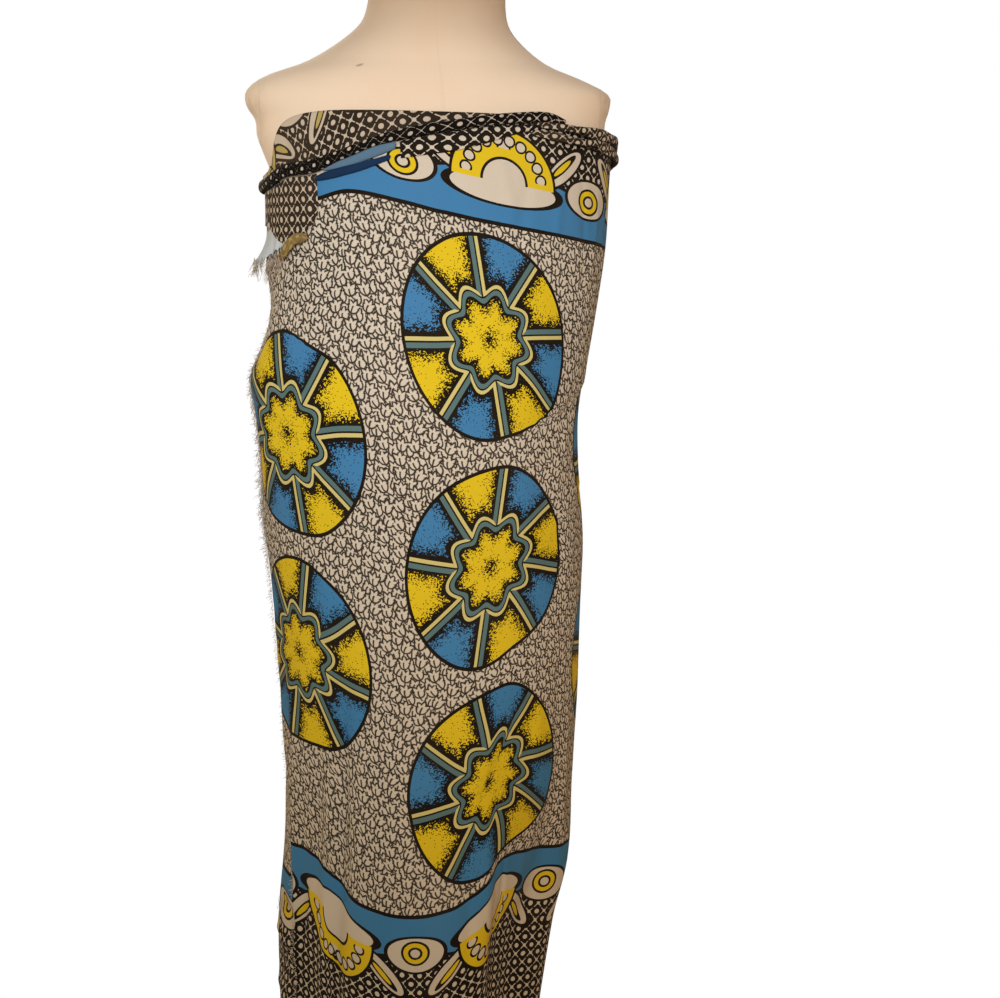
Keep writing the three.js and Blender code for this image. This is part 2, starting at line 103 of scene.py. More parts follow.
borderTop = rows(
    "angle z",
    (176, 1199), (196, 1203), (202, 1212), (207, 1230), (213, 1243), (221, 1251.5), (230, 1256),
    (244, 1258), (284, 1256), (302, 1254),
)
rawEnd = rows(
    "z angle",
    (262, 208), (450, 206), (540, 203), (640, 195), (760, 190), (900, 187), (1100, 185), (1200, 182),
)
# The printed line at the inner side of each border, where it comes to lie on the wound cloth.
lowLine = rows(
    "angle z",
    (182, 515), (208, 512), (222, 502), (235, 478), (254, 463), (270, 470), (281, 484), (294, 508),
    (312, 506), (330, 497), (358, 490), (400, 484), (450, 476), (500, 480), (540, 470), (767, 466),
)
highLine = rows(
    "angle z",
    (182, 1168), (214, 1174), (228, 1177), (242, 1184), (260, 1174), (279, 1157), (309, 1142),
    (340, 1133), (358, 1130), (400, 1122), (450, 1114), (500, 1108), (540, 1106), (767, 1106),
)
# Creases, listed one by one: a ridge (+) or trough (-) from one end to the other, fading out at both.
creases = rows(
    "angle z toAngle toZ width depth",
    (214, 1180, 222, 1090, 5, -1.3), (221, 1190, 232, 1130, 4, 1.2), (228, 1192, 236, 1060, 5, -1.1),
    (238, 1196, 243, 1110, 4, 1.0), (246, 1203, 255, 1085, 6, -1.2), (262, 1216, 266, 1120, 5, 1.1),
    (273, 1222, 270, 1100, 5, -0.9), (284, 1230, 290, 1150, 5, 1.2), (296, 1226, 288, 1080, 6, -1.3),
    (309, 1222, 304, 1110, 5, 1.2), (318, 1214, 322, 1090, 5, -1.4), (331, 1208, 325, 1060, 6, 1.3),
    (344, 1200, 340, 1050, 6, -1.4), (206, 1090, 222, 1020, 7, 1.4), (201, 1050, 226, 960, 8, -1.5),
    (198, 1000, 216, 905, 7, 1.3), (334, 1010, 316, 930, 7, -1.6), (340, 975, 312, 905, 8, 1.5),
    (338, 930, 318, 868, 7, -1.4), (330, 890, 305, 835, 8, 1.2), (322, 850, 300, 800, 7, -1.0),
    (225, 900, 233, 700, 8, 1.4), (244, 760, 240, 560, 9, -1.6), (232, 690, 226, 470, 7, 1.8),
    (222, 640, 216, 420, 7, -1.8), (205, 760, 207, 560, 7, 1.6), (199, 620, 204, 420, 6, -1.6),
    (256, 640, 250, 420, 9, 1.5), (275, 560, 279, 380, 7, -2.0), (284, 600, 287, 400, 6, 1.8),
    (290, 560, 292, 400, 5, -1.8), (318, 760, 320, 560, 8, -1.6), (330, 720, 328, 480, 8, 1.8),
    (338, 640, 334, 430, 7, -1.6), (346, 800, 344, 560, 8, 1.4), (310, 700, 303, 590, 7, 1.2),
    (250, 1060, 268, 1020, 12, 0.9), (290, 1040, 272, 985, 12, -0.9), (262, 930, 288, 880, 12, 0.9),
    (8, 1180, 20, 1040, 7, -1.6), (30, 1170, 24, 1000, 8, 1.5), (52, 1165, 60, 990, 9, -1.5),
    (78, 1160, 70, 1010, 7, 1.3), (95, 1165, 102, 1000, 8, -1.6), (122, 1160, 114, 980, 9, 1.5),
    (141, 1160, 150, 1010, 7, -1.3), (12, 860, 8, 640, 9, 1.6), (40, 780, 44, 500, 10, -1.8),
    (74, 860, 80, 600, 10, 1.6), (92, 700, 88, 430, 9, -1.8), (120, 820, 124, 560, 10, 1.8),
    (134, 660, 130, 420, 8, -1.6), (160, 900, 156, 640, 9, 1.5), (170, 700, 172, 470, 8, -1.5),
    (56, 1060, 96, 900, 12, 2.8), (66, 1020, 104, 850, 11, -3.0), (128, 1050, 98, 880, 12, 2.6),
    (84, 760, 80, 330, 12, 4.2), (97, 700, 96, 300, 10, -4.0), (50, 660, 47, 320, 11, 3.6),
    (126, 690, 131, 310, 12, 4.4), (140, 600, 146, 300, 10, -3.6), (14, 640, 12, 330, 10, 3.4),
    (34, 590, 36, 310, 9, -3.6), (160, 560, 164, 320, 10, 3.2),
    (187, 1108, 189, 1000, 32, -10), (187, 1010, 188, 860, 28, -6.5),
    (182, 470, 212, 446, 6, 3.6), (184, 437, 209, 424, 6, -5.4),
    (180, 404, 213, 388, 7, 4.6), (183, 366, 210, 357, 6, -5.8), (181, 338, 214, 322, 8, 5),
    (184, 304, 208, 297, 6, -4), (212, 480, 206, 330, 5, -3),
)
# Knife pleats: the cloth steps out over a few millimetres and takes some of its width into the fold.
pleats = rows(
    "angleTop angleHem start full step across hidden",
    (294, 306, 560, 470, 4.2, 1.4, 16),
    (223, 229, 570, 480, -4.0, 1.6, 12),
)
# Tucks: short folds that take in a little of the cloth across their line and die out at the far end.
tucks = rows(
    "angle z toAngle toZ hidden step width",
    (346, 992, 292, 948, 15, 2.4, 3.2),
    (344, 884, 306, 846, 8, 1.6, 3.0),
    (214, 1062, 236, 1010, 5, 1.2, 3.5),
    (292, 655, 276, 560, 7, 1.6, 3.0),
)


def valueAt(table, along, at, column):
    # A column's value at a place along a table, on a smooth curve through its rows
    if at <= table[0][along]:
        return table[0][column]
    if at >= table[-1][along]:
        return table[-1][column]
    i = 0
    while table[i + 1][along] < at:
        i += 1
    a, b = table[i], table[i + 1]
    before, after = table[max(i - 1, 0)], table[min(i + 2, len(table) - 1)]
    span = b[along] - a[along]
    t = (at - a[along]) / span
    middle = (b[column] - a[column]) / span
    startSlope = (b[column] - before[column]) / (b[along] - before[along])
    endSlope = (after[column] - a[column]) / (after[along] - a[along])
    bend = t * (1 - t) * span * ((1 - t) * (startSlope - middle) - t * (endSlope - middle))
    return a[column] + t * (b[column] - a[column]) + bend


def byAngle(table, angle, column="z"):
    return valueAt(table, "angle", angle, column)


def smooth(x, start, end):
    t = min(max((x - start) / (end - start), 0), 1)
    return t * t * (3 - 2 * t)


def mixed(a, b, share):
    return a + (b - a) * share


def sectionAt(table, z):
    return [valueAt(table, "z", z, name) for name in ("left", "right", "front", "back", "square")]


def outlinePoint(section, angle, z, out=0.0):
    # A point of a section's outline, moved out along the outline's own normal
    left, right, front, back, square = section
    c, s = math.cos(math.radians(angle)), math.sin(math.radians(angle))
    sizeX = right if c >= 0 else left
    sizeY = back if s >= 0 else front
    power = 2 / square
    x = sizeX * math.copysign(abs(c) ** power, c)
    y = sizeY * math.copysign(abs(s) ** power, s)
    normalX = math.copysign(abs(c) ** (2 - power), c) / sizeX
    normalY = math.copysign(abs(s) ** (2 - power), s) / sizeY
    length = math.hypot(normalX, normalY)
    return Vector((x + out * normalX / length, y + out * normalY / length, z)) * mm


def hanging(fold, z):
    # How far a fold has grown at a height, and the angle that it has drifted to
    strength = smooth(fold["start"] - z, 0, fold["start"] - fold["full"])
    down = min(max((fold["start"] - z) / (fold["start"] - wrap["hem"]), 0), 1)
    return strength, mixed(fold["angleTop"], fold["angleHem"], down)


def foldDepth(angle, z):
    turned = angle % 360
    depth = 0
    for fold in clothFolds:
        if z >= fold["start"]:
            continue
        strength, centre = hanging(fold, z)
        aside = abs(turned - centre) / fold["spread"]
        depth += fold["depth"] * strength * math.exp(-(aside ** fold["steepness"]))
    return depth


millimetresPerDegree = 2.6  # along the cloth, near enough for the creases


def beside(mark, angle, z):
    # A crease's or tuck's line, how far along it a place is, as a share, and how far to its side
    line = Vector(((mark["toAngle"] - mark["angle"]) * millimetresPerDegree, mark["toZ"] - mark["z"]))
    here = Vector(((angle - mark["angle"]) * millimetresPerDegree, z - mark["z"]))
    return line, here.dot(line) / line.length_squared, (here.x * line.y - here.y * line.x) / line.length


def creaseDepth(angle, z):
    turned = angle % 360
    depth = 0
    for crease in creases:
        reach = 3 * crease["width"]
        if not min(crease["z"], crease["toZ"]) - reach < z < max(crease["z"], crease["toZ"]) + reach:
            continue
        _, share, aside = beside(crease, turned, z)
        if not 0 < share < 1:
            continue
        depth += crease["depth"] * math.sin(math.pi * share) * math.exp(-((aside / crease["width"]) ** 2))
    return depth


pleatFade = 16  # degrees either side of a pleat, over which its step dies away
# where a tuck starts and is whole, as shares of its length, and how far aside its effects fade
tuckShape = {"before": -0.3, "whole": 0.1, "stepFade": 12, "printFade": 40}


def pleatAt(angle, z):
    # How far the pleats have moved the cloth out here, and the width they have taken in
    turned = angle % 360
    out, hidden = 0, 0
    for pleat in pleats:
        strength, edge = hanging(pleat, z)
        past = smooth(turned, edge - pleat["across"], edge + pleat["across"])
        fade = math.exp(-(((turned - edge) / pleatFade) ** 2))
        out += pleat["step"] * strength * (past - 0.5) * fade
        if angle < 360:
            hidden += pleat["hidden"] * strength * past
    return out, hidden


def tuckAt(angle, z):
    # How far the tucks have moved the cloth out here, and how far they draw in its print, along and up
    out, along, up = 0, 0, 0
    if angle >= 360:
        return out, along, up
    for tuck in tucks:
        line, share, aside = beside(tuck, angle, z)
        if not tuckShape["before"] < share < 1:
            continue
        strength = smooth(1 - share, 0, 0.5) * smooth(share, tuckShape["before"], tuckShape["whole"])
        across = Vector((line.y, -line.x)) / line.length
        past = smooth(aside, -tuck["width"], tuck["width"]) - 0.5
        fade = math.exp(-((aside / tuckShape["printFade"]) ** 2))
        out += tuck["step"] * strength * past * math.exp(-((aside / tuckShape["stepFade"]) ** 2))
        along += tuck["hidden"] * strength * past * fade * across.x
        up += tuck["hidden"] * strength * past * fade * across.y
    return out, along, up


def looseness(angle, z):
    # Small uneven give of the cloth, the same for each layer
    turned = math.radians(angle % 360)
    where = Vector((math.cos(turned) * 2.2, math.sin(turned) * 2.2, z * 0.004))
    hang = smooth(wrap["freeBelow"] - z, 0, 400)
    return noise.noise(where * 1.6) * (0.5 + 1.6 * hang) + noise.noise(where * 4.1) * (0.25 + 0.5 * hang)


def layerDepth(angle, z):
    # How far the inner turn lies under the outer one
    under = 2 * wrap["layerPitch"] + wrap["looseHang"] * smooth(wrap["freeBelow"] - z, 0, 160)
    return under * smooth(angle, *wrap["slidesUnder"])


def topAt(angle):
    # The outer turn's top edge, and from where the table ends the inner turn's, just below what hides it
    if angle <= topEdge[-1]["angle"]:
        return byAngle(topEdge, angle)
    turned = angle - 360
    bare = byAngle(topEdge, turned) - wrap["innerDrop"]
    if turned >= borderTop[-1]["angle"]:
        return bare
    return max(bare, byAngle(borderTop, turned) - wrap["borderDrop"])


def hemAt(angle):
    return wrap["hem"] + byAngle(hemLift, angle, "lift")


def clothHeight(angle, z):
    # The height on the flat cloth, from its hem edge, of a place on the wound cloth
    hem, low, high = hemAt(angle), byAngle(lowLine, angle), byAngle(highLine, angle)
    topLine = wrap["width"] - wrap["border"]
    if z < low:
        return wrap["border"] * (z - hem) / (low - hem)
    if z < high:
        return mixed(wrap["border"], topLine, (z - low) / (high - low))
    return topLine + z - high


# making meshes
def finishMesh(bm, name, materials, smoothFaces=True):
    mesh = bpy.data.meshes.new(name)
    bm.to_mesh(mesh)
    bm.free()
    piece = bpy.data.objects.new(name, mesh)
    bpy.context.scene.collection.objects.link(piece)
    for material in materials:
        mesh.materials.append(material)
    for polygon in mesh.polygons:
        polygon.use_smooth = smoothFaces
    return piece


def gridPiece(name, columns, rowsUp, place, printAt, materials, thickness=0.0, closed=False):
    # A sheet of columns by rows, each corner placed by its two shares; closed joins its long edges
    bm = bmesh.new()
    bmesh.ops.create_grid(bm, x_segments=columns, y_segments=rowsUp, size=0.5)
    printMap = bm.loops.layers.uv.new("print")
    shares = {corner: (corner.co.x + 0.5, corner.co.y + 0.5) for corner in bm.verts}
    for face in bm.faces:
        for loop in face.loops:
            loop[printMap].uv = printAt(*shares[loop.vert])
    for corner, (s, t) in shares.items():
        corner.co = place(s, t)
    if closed:
        bmesh.ops.remove_doubles(bm, verts=bm.verts, dist=0.00002)
        openEdges = [edge for edge in bm.edges if edge.is_boundary]
        if openEdges:
            bmesh.ops.holes_fill(bm, edges=openEdges, sides=0)
    bmesh.ops.recalc_face_normals(bm, faces=bm.faces)
    piece = finishMesh(bm, name, materials)
    if thickness:
        wall = piece.modifiers.new("wall", "SOLIDIFY")
        wall.thickness = thickness * mm
        wall.offset = -1
        wall.material_offset = len(materials) - 1
        wall.use_even_offset = False
    return piece


def stepsBetween(start, end, step):
    count = max(1, round((end - start) / step))
    return [start + (end - start) * i / count for i in range(count)]


# colours and the node helper
def colour(code):
    channels = [int(code[i:i + 2], 16) / 255 for i in (1, 3, 5)]
    return (*(c / 12.92 if c <= 0.04045 else ((c + 0.055) / 1.055) ** 2.4 for c in channels), 1)


def put(tree, kind, inputs=(), out=0, **settings):
    # Adds a node, such as "UVMap" or "Math ADD", with its settings and what goes into its sockets,
    # a link or a value; gives back one of its outputs, or several. Sockets with a number are, on a
    # Mix node, 0 for the share and the last two for what is mixed, and on a MapRange 1 to 4
    # for its two ranges
    kind, *work = kind.split()
    node = tree.nodes.new("ShaderNode" + kind)
    if work:
        node.operation = work[0]
    for name, value in settings.items():
        setattr(node, name, value)
    named = inputs.items() if isinstance(inputs, dict) else enumerate(inputs)
    for socket, value in named:
        if isinstance(value, bpy.types.NodeSocket):
            tree.links.new(value, node.inputs[socket])
        elif value is not None:
            node.inputs[socket].default_value = value
    if isinstance(out, tuple):
        return [node.outputs[i] for i in out]
    return node.outputs[out] if len(node.outputs) else node


ofColours = {"out": 2, "data_type": "RGBA"}  # for a Mix node between two colours


def newMaterial(name):
    material = bpy.data.materials.new(name)
    material.use_nodes = True
    tree = material.node_tree
    surface = tree.nodes["Principled BSDF"]
    return material, tree, surface


printInks = {
    "ground": "#CFC8BA",  # unbleached cotton showing between the inks
    "black": "#0A0603",
    "leafLine": "#160D06",
    "blue": "#3C7FB4",
    "yellow": "#DCC21C",
    "teal": "#557478",
    "straw": "#CCC37E",
}
fieldPrint = {
    "cell": 15.0, "scatter": 0.36, "turn": 0.6, "round": 5.0, "point": 3.8, "tooth": 0.42, "toothedTo": 1.6,
    "stemTop": 1.2, "line": 1.45,
}
latticePrint = {"pitch": 9.0, "arm": 0.07, "knot": 0.2, "armEnd": 0.62}
medallionPrint = {
    "across": 205, "up": 233, "shift": 45, "halfWidth": 85, "halfHeight": 104, "outline": 3.4, "spokes": 8,
    "rosette": 0.45, "lobe": 0.05, "band": 6.4, "lean": 0.15,
}
borderPrint = {
    "lattice": 150, "line": 4, "period": 195, "shift": 62, "scallop": 5.0, "beads": 20, "beadsAt": 38.0,
}


def leafLines(tree, inked, shift):
    # How far a place is from the outline of the nearest leaf, and whether it is in the leaf:
    # round below and toothed above, with a short bent stem
    leaf = fieldPrint
    cells = put(tree, "VectorMath MULTIPLY", [inked, (1 / leaf["cell"], 1 / leaf["cell"], 0)])
    cells = put(tree, "VectorMath ADD", [cells, (shift, shift, 0)])
    scatter = {"Vector": cells, "Scale": 1.0, "Randomness": leaf["scatter"]}
    chance, centre = put(tree, "TexVoronoi", scatter, out=(1, 2), voronoi_dimensions="2D")
    local = put(tree, "VectorMath SUBTRACT", [cells, centre])
    local = put(tree, "VectorMath MULTIPLY", [local, (leaf["cell"], leaf["cell"], 0)])
    turn = put(tree, "SeparateColor", [chance])
    turn = put(tree, "Math MULTIPLY_ADD", [turn, 2 * leaf["turn"], -leaf["turn"]])
    local = put(tree, "VectorRotate", {"Vector": local, "Angle": turn}, rotation_type="Z_AXIS")
    x, y = put(tree, "SeparateXYZ", [local], out=(0, 1))
    radius = put(tree, "VectorMath LENGTH", [local], out=1)
    around = put(tree, "Math ARCTAN2", [x, y])
    aside = put(tree, "Math ABSOLUTE", [around])
    toothedFrom = leaf["toothedTo"] - 0.4
    toothed = put(tree, "MapRange", {"Value": aside, 1: toothedFrom, 2: leaf["toothedTo"], 3: 1.0, 4: 0.0})
    tooth = put(tree, "Math ADD", [aside, -leaf["tooth"]])
    tooth = put(tree, "Math PINGPONG", [tooth, leaf["tooth"]])
    tooth = put(tree, "Math MULTIPLY", [tooth, leaf["point"] / leaf["tooth"]])
    tooth = put(tree, "Math MULTIPLY", [tooth, toothed])
    outline = put(tree, "Math ADD", [tooth, leaf["round"]])
    body = put(tree, "Math SUBTRACT", [radius, outline])
    slope = put(tree, "Math MULTIPLY_ADD", [toothed, -0.4, 1.0])
    body = put(tree, "Math MULTIPLY", [body, slope])
    edge = put(tree, "Math ABSOLUTE", [body])
    curl = put(tree, "Math MULTIPLY", [y, y])
    curl = put(tree, "Math MULTIPLY_ADD", [curl, 0.05, -0.9])
    stem = put(tree, "Math SUBTRACT", [x, curl])
    stem = put(tree, "Math ABSOLUTE", [stem])
    stemEnd = put(tree, "Math SUBTRACT", [y, leaf["stemTop"]])
    stem = put(tree, "Math MAXIMUM", [stem, stemEnd])
    inside = put(tree, "Math LESS_THAN", [body, 0.0])
    return put(tree, "Math MINIMUM", [edge, stem]), inside


def printColours(tree, inks, dotSizes, armSizes):
    # The whole print of the cloth, from its flat place in metres, as one colour
    black, ground = colour(inks["black"]), colour(inks["ground"])
    flat = put(tree, "UVMap", uv_map="print")
    place = put(tree, "VectorMath MULTIPLY", [flat, (1000, 1000, 0)])
    u, v = put(tree, "SeparateXYZ", [place], out=(0, 1))

    # slight wander of the inks, as a screen print has
    drift = {"Vector": place, "Scale": 0.09, "Detail": 1.0}
    drift = put(tree, "TexNoise", drift, out=1, noise_dimensions="2D")
    wander = put(tree, "VectorMath SUBTRACT", [drift, (0.5, 0.5, 0.5)])
    wander = put(tree, "VectorMath MULTIPLY", [wander, (2.0, 2.0, 0)])
    inked = put(tree, "VectorMath ADD", [place, wander])

    # the leaf field: outlined leaves in two sets, the second showing only between those of the first
    edge, covered = leafLines(tree, inked, 0.0)
    behind, _ = leafLines(tree, inked, 40.5)
    behind = put(tree, "Math MULTIPLY_ADD", [covered, 9.0, behind])
    edge = put(tree, "Math MINIMUM", [edge, behind])
    line = fieldPrint["line"]
    mark = put(tree, "MapRange", {"Value": edge, 1: line * 0.35, 2: line * 0.8, 3: 0.96, 4: 0.0})
    field = put(tree, "Mix", {0: mark, 6: ground, 7: colour(inks["leafLine"])}, **ofColours)

    # medallions in columns, each second column dropped by half
    m = medallionPrint
    firstColumn = 0.5 - m["shift"] / m["across"]
    columnPlace = put(tree, "Math MULTIPLY_ADD", [u, 1 / m["across"], firstColumn])
    column = put(tree, "Math FLOOR", [columnPlace])
    mx = put(tree, "Math SUBTRACT", [columnPlace, column])
    mx = put(tree, "Math MULTIPLY_ADD", [mx, m["across"], -m["across"] / 2])
    odd = put(tree, "Math FLOORED_MODULO", [column, 2.0])
    drop = put(tree, "Math MULTIPLY", [odd, -0.5])
    rowPlace = put(tree, "Math MULTIPLY_ADD", [v, 1 / m["up"], -wrap["border"] / m["up"]])
    rowPlace = put(tree, "Math ADD", [rowPlace, drop])
    row = put(tree, "Math FLOOR", [rowPlace])
    my = put(tree, "Math SUBTRACT", [rowPlace, row])
    my = put(tree, "Math MULTIPLY_ADD", [my, m["up"], -m["up"] / 2])
    lean = put(tree, "Math ADD", [row, column])
    lean = put(tree, "Math FLOORED_MODULO", [lean, 2.0])
    lean = put(tree, "Math MULTIPLY_ADD", [lean, 2 * m["lean"], -m["lean"]])
    spot = put(tree, "CombineXYZ", [mx, my, 0.0])
    spot = put(tree, "VectorRotate", {"Vector": spot, "Angle": lean}, rotation_type="Z_AXIS")
    middleScale = (m["halfWidth"] + m["halfHeight"]) / 2
    oval = put(tree, "VectorMath MULTIPLY", [spot, (1 / m["halfWidth"], 1 / m["halfHeight"], 0)])
    ox, oy = put(tree, "SeparateXYZ", [oval], out=(0, 1))
    reach = put(tree, "VectorMath LENGTH", [oval], out=1)
    around = put(tree, "Math ARCTAN2", [ox, oy])
    waves = put(tree, "Math MULTIPLY", [around, float(m["spokes"])])
    waves = put(tree, "Math COSINE", [waves])
    rosette = put(tree, "Math MULTIPLY_ADD", [waves, -m["lobe"], m["rosette"]])
    ringGap = put(tree, "Math SUBTRACT", [reach, rosette])
    ringGap = put(tree, "Math MULTIPLY", [ringGap, middleScale])
    sector = put(tree, "Math MULTIPLY", [around, m["spokes"] / (2 * math.pi)])
    sectorRow = put(tree, "Math FLOOR", [sector])
    fromSpoke = put(tree, "Math ADD", [sector, 0.5])
    fromSpoke = put(tree, "Math FLOORED_MODULO", [fromSpoke, 1.0])
    fromSpoke = put(tree, "Math SUBTRACT", [fromSpoke, 0.5])
    spokeGap = put(tree, "Math MULTIPLY", [fromSpoke, reach])
    spokeGap = put(tree, "Math MULTIPLY", [spokeGap, 2 * math.pi / m["spokes"] * middleScale])
    ringNear = put(tree, "Math ABSOLUTE", [ringGap])
    spokeNear = put(tree, "Math ABSOLUTE", [spokeGap])
    inside = put(tree, "Math LESS_THAN", [ringGap, 0.0])
    nearerRing = put(tree, "Math LESS_THAN", [ringNear, spokeNear])
    useRing = put(tree, "Math MAXIMUM", [inside, nearerRing])
    band = put(tree, "Mix", {0: useRing, 2: spokeGap, 3: ringGap}, data_type="FLOAT")
    bandNear = put(tree, "Math ABSOLUTE", [band])
    petal = put(tree, "Math FLOORED_MODULO", [sectorRow, 2.0])
    petal = put(tree, "Math MAXIMUM", [petal, inside])
    petalInk = put(tree, "Mix", {0: petal, 6: colour(inks["blue"]), 7: colour(inks["yellow"])}, **ofColours)
    # fine stipple, thick beside the bands and in the middle
    toCentre = put(tree, "Math MULTIPLY", [reach, middleScale])
    toCentre = put(tree, "Math ADD", [toCentre, 7.0])
    shade = put(tree, "Math MINIMUM", [bandNear, toCentre])
    dense = put(tree, "MapRange", {"Value": shade, 1: 7.0, 2: 25.0, 3: 1.0, 4: 0.0})
    dense = put(tree, "Math POWER", [dense, 1.7])
    dense = put(tree, "Math ADD", [dense, 0.04])
    grain = {"Vector": inked, "Scale": 0.88, "Randomness": 1.0}
    fromGrain, grainChance = put(tree, "TexVoronoi", grain, out=(0, 1), voronoi_dimensions="2D")
    grainChance = put(tree, "SeparateColor", [grainChance])
    grainSize = put(tree, "Math MULTIPLY_ADD", [dense, 0.5, 0.42])
    speck = put(tree, "Math LESS_THAN", [fromGrain, grainSize])
    chosen = put(tree, "Math LESS_THAN", [grainChance, dense])
    speck = put(tree, "Math MULTIPLY", [speck, chosen])
    petalInk = put(tree, "Mix", {0: speck, 6: petalInk, 7: black}, **ofColours)
    bandTone = put(tree, "MapRange", {"Value": band, 1: -8.0, 2: 8.0, 3: 0.0, 4: 1.0})
    bandInk = put(tree, "ValToRGB", [bandTone])
    ramp = bandInk.node.color_ramp
    ramp.interpolation = "CONSTANT"
    ramp.elements.remove(ramp.elements[1])
    ramp.elements[0].position = 0
    ramp.elements[0].color = black
    for position, ink in ((0.15, "teal"), (0.44, "black"), (0.54, "straw"), (0.76, "black")):
        ramp.elements.new(position).color = colour(inks[ink])
    bandMark = put(tree, "Math LESS_THAN", [bandNear, m["band"]])
    petalInk = put(tree, "Mix", {0: bandMark, 6: petalInk, 7: bandInk}, **ofColours)
    rim = put(tree, "Math GREATER_THAN", [reach, 1 - m["outline"] / middleScale])
    petalInk = put(tree, "Mix", {0: rim, 6: petalInk, 7: black}, **ofColours)
    onOval = put(tree, "Math LESS_THAN", [reach, 1.0])
    rowHigh = put(tree, "Math LESS_THAN", [row, 2.5])
    rowLow = put(tree, "Math GREATER_THAN", [row, -0.5])
    notLast = put(tree, "Math ADD", [row, odd])
    notLast = put(tree, "Math LESS_THAN", [notLast, 2.5])
    for gate in (rowHigh, rowLow, notLast):
        onOval = put(tree, "Math MULTIPLY", [onOval, gate])
    printed = put(tree, "Mix", {0: onOval, 6: field, 7: petalInk}, **ofColours)

    # the borders, the same from either edge of the cloth
    fromTop = put(tree, "Math SUBTRACT", [float(wrap["width"]), v])
    w = put(tree, "Math MINIMUM", [v, fromTop])
    pitch = latticePrint["pitch"]
    net = put(tree, "VectorMath MULTIPLY", [inked, (1 / pitch, 1 / pitch, 0)])
    netCell = put(tree, "VectorMath FLOOR", [net])
    inNet = put(tree, "VectorMath SUBTRACT", [net, netCell])
    inNet = put(tree, "VectorMath SUBTRACT", [inNet, (0.5, 0.5, 0)])
    nx, ny = put(tree, "SeparateXYZ", [inNet], out=(0, 1))
    nx = put(tree, "Math ABSOLUTE", [nx])
    ny = put(tree, "Math ABSOLUTE", [ny])
    cellSum = put(tree, "VectorMath DOT_PRODUCT", [netCell, (1, 1, 0)], out=1)
    checker = put(tree, "Math FLOORED_MODULO", [cellSum, 2.0])
    fromDot = put(tree, "VectorMath LENGTH", [inNet], out=1)
    # the dots and arms run from their first size to their second along the cloth
    dotSizes = [size / pitch for size in dotSizes]
    dotReach = put(tree, "MapRange", {"Value": u, 1: -110.0, 2: 60.0, 3: dotSizes[0], 4: dotSizes[1]})
    armReach = put(tree, "MapRange", {"Value": u, 1: -110.0, 2: 60.0, 3: armSizes[0], 4: armSizes[1]})
    dots = put(tree, "Math LESS_THAN", [fromDot, dotReach])
    armGap = put(tree, "Math SUBTRACT", [nx, ny])
    armGap = put(tree, "Math ABSOLUTE", [armGap])
    armWide = put(tree, "Math MULTIPLY", [armReach, latticePrint["arm"]])
    arms = put(tree, "Math LESS_THAN", [armGap, armWide])
    armEnds = put(tree, "Math LESS_THAN", [fromDot, latticePrint["armEnd"]])
    arms = put(tree, "Math MULTIPLY", [arms, armEnds])
    knot = put(tree, "Math MULTIPLY", [armReach, latticePrint["knot"]])
    knot = put(tree, "Math LESS_THAN", [fromDot, knot])
    arms = put(tree, "Math MAXIMUM", [arms, knot])
    figure = put(tree, "Mix", {0: checker, 2: dots, 3: arms}, data_type="FLOAT")
    edging = put(tree, "Mix", {0: figure, 6: black, 7: ground}, **ofColours)

    b = borderPrint
    repeat = put(tree, "Math MULTIPLY_ADD", [u, 1 / b["period"], 0.5 - b["shift"] / b["period"]])
    repeat = put(tree, "Math FRACT", [repeat])
    bx = put(tree, "Math MULTIPLY_ADD", [repeat, b["period"], -b["period"] / 2])
    bxNear = put(tree, "Math ABSOLUTE", [bx])
    by = put(tree, "Math SUBTRACT", [w, float(b["lattice"])])
    # a scalloped line between the lattice and the blue
    scallop = put(tree, "Math MULTIPLY", [bx, 4 * math.pi / b["period"]])
    scallop = put(tree, "Math COSINE", [scallop])
    step = put(tree, "Math MULTIPLY_ADD", [scallop, -b["scallop"], by])
    onBlue = put(tree, "Math GREATER_THAN", [step, 0.0])
    edging = put(tree, "Mix", {0: onBlue, 6: edging, 7: colour(inks["blue"])}, **ofColours)
    stepLine = put(tree, "Math COMPARE", [step, 0.0, 1.8])
    edging = put(tree, "Mix", {0: stepLine, 6: edging, 7: black}, **ofColours)

    motifs = (
        # centre along and up, half width, half height, turn, ink, outline, only below the line
        (97.5, 2, 33, 20, 0.0, "ground", 2.4, False),
        (97.5, 4, 15, 13, 0.0, "yellow", 2.2, False),
        (97.5, 4, 7.5, 6.5, 0.0, "ground", 2.2, False),
        (64, -22, 34, 11, 0.75, "ground", 2.2, False),
        (62, -23, 22, 4, 0.75, "yellow", 1.6, False),
        (0, 8, 62, 17, 0.0, "ground", 2.4, False),
        (0, 2, 54, 52, 0.0, "yellow", 2.6, True),
        (0, 2, 24, 24, 0.0, "ground", 2.6, True),
        (0, -30, 7, 15, 0.0, "ground", 2.0, True),
    )
    for cx, cy, halfWide, halfTall, turn, ink, outline, below in motifs:
        spot = put(tree, "CombineXYZ", [bxNear, by, 0.0])
        spot = put(tree, "VectorMath SUBTRACT", [spot, (cx, cy, 0)])
        if turn:
            spot = put(tree, "VectorRotate", {"Vector": spot, "Angle": turn}, rotation_type="Z_AXIS")
        ring = put(tree, "VectorMath MULTIPLY", [spot, (1 / halfWide, 1 / halfTall, 0)])
        ring = put(tree, "VectorMath LENGTH", [ring], out=1)
        on = put(tree, "Math LESS_THAN", [ring, 1.0])
        filled = put(tree, "Math LESS_THAN", [ring, 1 - outline / min(halfWide, halfTall)])
        if below:
            under = put(tree, "Math LESS_THAN", [by, float(cy)])
            on = put(tree, "Math MULTIPLY", [on, under])
        shape = put(tree, "Mix", {0: filled, 6: black, 7: colour(inks[ink])}, **ofColours)
        edging = put(tree, "Mix", {0: on, 6: edging, 7: shape}, **ofColours)
